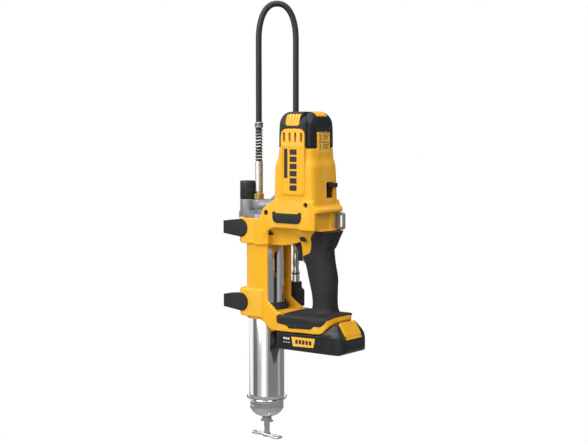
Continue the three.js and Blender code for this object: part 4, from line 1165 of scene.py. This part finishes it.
def add_strap_ring():
    loop = prism(round_rect(127.8, 142.6, -8.8, 18.6, 5, 6), "y", 15.1, 18.9)
    cut(loop, prism(round_rect(132, 138.4, -4.6, 14.4, 3, 6), "y", 0, 40))
    bevel(loop, 0.8, 3)
    hub = bar("z", 2.5, -5, 14.6, 124.5, 17, 24)
    web = block(125, 129, 15.5, 18.5, -3, 12)
    pin = bar("z", 1.3, -8.2, 17.2, 124.5, 17, 16)
    ring = merge(loop, hub, web, pin)
    soften(ring, 0.35, 4)
    lighten(ring, 5000)
    place(ring, "strap_loop", CASTING, "strap_ring", ["strap_ring"], 60)


def add_dock():
    outline = fillet([(14.5, -101.3, 2), (34, -101.3, 3), (34, -111.2, 1), (39.3, -115.3, 2),
        (39.3, -141.3, 2), (37.3, -142.2, 2), (15, -129, 2)], 2, 5)
    dock = prism(outline, "y", 36.8, 50.8)
    inner = prism(outline, "y", 32.9, 37.5)
    cut(inner, block(27.6, 60, 30, 60, -160, -90))
    wall = merge(dock, inner)
    soften(wall, 0.55, 5)
    cut(wall, bar("z", 6.65, -119, -94, *DOCK, 48))
    lighten(wall, 5000)
    place(wall, "coupler_holder", RUBBER, "tool", ["coupler_dock"], 45)


def add_screws():
    for name, (x, z, seat) in SCREW_SPOTS.items():
        side, end = screw_reach(name, seat)
        shank = bar("y", 2, *sorted((seat - side, end)), x, z, 16)
        head = bar("y", 3.7, *sorted((seat + side * 0.3, seat + side * 1.9)), x, z, 32)
        top = sorted((seat + side * 0.9, seat + side * 5))
        star = [bar("y", 0.62, *top, x + 1.25 * math.cos(t), z + 1.25 * math.sin(t), 8)
            for t in [math.pi / 3 * i for i in range(6)]]
        cut(head, *star, bar("y", 1.3, *top, x, z, 16))
        boolean(head, [shank], "UNION")
        place(head, f"{name}_torx", DARK_STEEL, "tool", [name], 35)


# --- Battery ---

BATTERY_OUTLINE = [
    (47.2, -172.8, 2), (124, -171.2, 0), (133, -170.6, 3), (138, -167.6, 4), (152.2, -153.4, 3),
    (157.6, -151.6, 3), (173.6, -177.4, 4), (177, -184.6, 4),
    (176, -194, 6), (168, -199, 6), (54, -199, 5), (47.2, -193, 5),
]
GAUGE = (133, -184)
RELEASE = (161.5, -165.5, math.atan2(25.5, 15))


def slanted(length, width, depth, out, r=3, down=0.0):
    """A block on the battery's sloping rear face."""
    x, z, angle = RELEASE
    obj = prism(round_rect(-length / 2, length / 2, -width / 2, width / 2, r, 5), "z", out - depth, out)
    obj.data.transform(Matrix.Translation((down, 0, 0)))
    obj.data.transform(Matrix.Translation((x + 3, 0, z + 1.2)) @ Matrix.Rotation(angle, 4, "Y"))
    return obj


def add_battery():
    hull = prism(fillet(BATTERY_OUTLINE, 3, 5), "y", -FOOT_HALF, FOOT_HALF)
    base = prism(fillet([(47, -FOOT_HALF, 6), (177.2, -FOOT_HALF, 22), (177.2, FOOT_HALF, 22),
        (47, FOOT_HALF, 6)], 8, 8), "z", -210, -140)
    boolean(hull, [base], "INTERSECT")
    hump = loft([(-172, 130, 47.2, 37.1, 5), (-166, 131, 45, 36, 4.6), (-158, 132, 40, 31.5, 4),
        (-150, 132, 34, 27.5, 3.6)], 96, 3)
    upper = copy(hull)
    boolean(upper, [hump], "INTERSECT")
    low = copy(hull)
    boolean(low, [block(0, 200, -60, 60, -300, -171.2)], "INTERSECT")
    drop(hull)
    case = merge(low, upper)
    modify(case, "REMESH", mode="VOXEL", voxel_size=0.8)
    cut(case, block(52, 151, -34, 34, -196, -175.2), block(126, 150, -33.6, 33.6, -176, -170.4),
        block(50, 124, -18, 18, -180, -169))
    soften(case, 0.75, 5)
    rails = [block(52, 128, *outward(side, 18, 25.4), -174, -156.8) for side in (-1, 1)]
    boolean(case, rails, "UNION")
    panels = []
    for side in (-1, 1):
        y0, y1 = outward(side, FOOT_HALF - 0.5, 60)
        panels.append(prism(fillet([(63, -176.4), (142, -174.6), (150, -179), (150, -192.5), (63, -194.4),
            (59, -190), (59, -180)], 3, 4), "y", y0, y1))
    cut(case, *panels, slanted(30.4, 43.2, 12, 8), bar("y", 3.3, -60, -34.2, *GAUGE))
    lighten(case, 18000)
    place(case, "battery_shell", BATTERY_BLACK, "battery", ["battery_case"])
    button = merge(slanted(24.6, 41.8, 8, 3.6, 4, -2.3), slanted(4, 38, 8, 3.2, 1, 12.6),
        slanted(29.2, 38, 6, 1.5, 2))
    soften(button, 0.5, 4)
    lighten(button, 5000)
    place(button, "release_tab", YELLOW, "battery_release", ["battery_release"], 50)
    gauge = bar("y", 2.9, -FOOT_HALF - 0.5, -FOOT_HALF + 1.4, *GAUGE, 32)
    bevel(gauge, 0.4, 3)
    place(gauge, "gauge_key", RUBBER, "gauge_button", ["gauge_button"], 40)


# --- Plain marks in place of the maker's ---

def plate(name, outline, side, y, thick, material, body):
    return place(prism(outline, "y", *outward(side, y, y + thick)), name, material, body, (), 40)


def add_marks():
    y = BODY_HALF + 0.45
    for side, word in ((-1, "left"), (1, "right")):
        plate(f"motor_stripe_{word}", round_rect(64, 70.6, 72.5, 118.5, 0.4, 2), side, y - 0.1, 0.35,
            MARK_DARK, "tool")
        for i in range(6):
            low = 53 + 11.2 * i
            plate(f"motor_bar_{word}_{i + 1}", round_rect(75, 88.5, low, low + 8.4, 0.8, 2), side, y - 0.1,
                0.3, MARK_DARK, "tool")
        edge = FOOT_HALF - 0.55
        plate(f"battery_badge_{word}", [(78, -177.2), (124, -176.2), (121, -190.8), (81, -192)], side, edge,
            0.35, YELLOW, "battery")
        for i in range(5):
            x = 86 + 6.6 * i
            plate(f"badge_bar_{word}_{i + 1}", round_rect(x, x + 4.6, -187.4, -180.8, 0.5, 2), side,
                edge + 0.3, 0.15, MARK_DARK, "battery")
        for i, x in enumerate((62, 66.4, 70.8)):
            plate(f"battery_tick_{word}_{i + 1}", round_rect(x, x + 3.4, -182.4, -179, 0.3, 2), side, edge,
                0.3, MARK_LIGHT, "battery")
        plate(f"battery_line_{word}", round_rect(61.5, 75, -187.2, -186.4, 0.3, 2), side, edge, 0.3,
            MARK_LIGHT, "battery")
        screen = block(61, 101, *outward(side, 31.4, 32.4), 127, 146)
        boolean(screen, [block(61, 101, *outward(side, 32.3, 33), 129.4 + 3 * i, 130.6 + 3 * i)
            for i in range(5)], "UNION")
        place(screen, f"vent_screen_{word}", BLACK, "tool", (), 40)
    numeral("2", -11.5, 131.5)
    numeral("1", -11.5, 117.4)
    label = prism(round_rect(-17.4, 13.4, 112.4, 144, 1.6, 4), "x", 115, 115.8)
    place(label, "speed_plate", YELLOW, "tool", (), 40)
    lines = [(-16, 12, 143), (-16, 12, 128.2), (-5, 11, 139.2), (-5, 9, 136.2), (-5, 8, 133.2),
        (-5, 11, 124.6), (-5, 8, 121.6), (-5, 10, 118.6)]
    bars = [block(115.7, 116.05, y0, y1, z, z + 0.9) for y0, y1, z in lines]
    place(merge(*bars), "speed_label_lines", MARK_DARK, "tool", (), 40)


def numeral(text, y, z):
    """A raised speed number on the rear label."""
    data = bpy.data.curves.new(f"numeral_{text}", "FONT")
    data.body = text
    data.size = 12
    data.extrude = 0.25
    data.align_x = "CENTER"
    obj = bpy.data.objects.new(f"numeral_{text}", data)
    bpy.context.scene.collection.objects.link(obj)
    mesh = bpy.data.meshes.new_from_object(obj.evaluated_get(bpy.context.evaluated_depsgraph_get()))
    drop(obj)
    solid = bpy.data.objects.new(f"numeral_{text}", mesh)
    bpy.context.scene.collection.objects.link(solid)
    stand = Matrix(((0, 0, 1, 115.75), (1, 0, 0, y), (0, 1, 0, z), (0, 0, 0, 1)))
    mesh.transform(stand)
    place(solid, f"speed_number_{text}", MARK_DARK, "tool", (), 40)


# --- CAD nodes that stay ---

def dress_cad_nodes():
    slots = {part["node"]: part["material_slot"] for part in frame["record"]["subparts"]}
    for node, slot_name in slots.items():
        obj = bpy.data.objects[node]
        if obj.hide_render:
            continue
        obj.data.materials.clear()
        obj.data.materials.append(CAD_MATERIALS[slot_name])


bpy.context.scene.view_settings.view_transform = "Standard"
add_camera()
add_cord()
add_world()
add_floor()
add_housing()
add_side_pads()
add_feet()
add_grip_cover()
add_barrel_collar()
add_end_cap()
add_rear_grille()
add_pump_head()
add_fitting()
add_barrel()
add_follower()
add_follower_spring()
add_trigger()
add_selector()
add_strap_ring()
add_dock()
add_screws()
add_battery()
add_marks()
dress_cad_nodes()

TARGET = tool(60, 0, -20)
area_light("key", tool(-500, -1500, 900), TARGET, 1.2, 21)
area_light("fill", tool(1400, -600, 1500), TARGET, 1.0, 13)
area_light("top", tool(100, 0, 1500), TARGET, 1.6, 12)
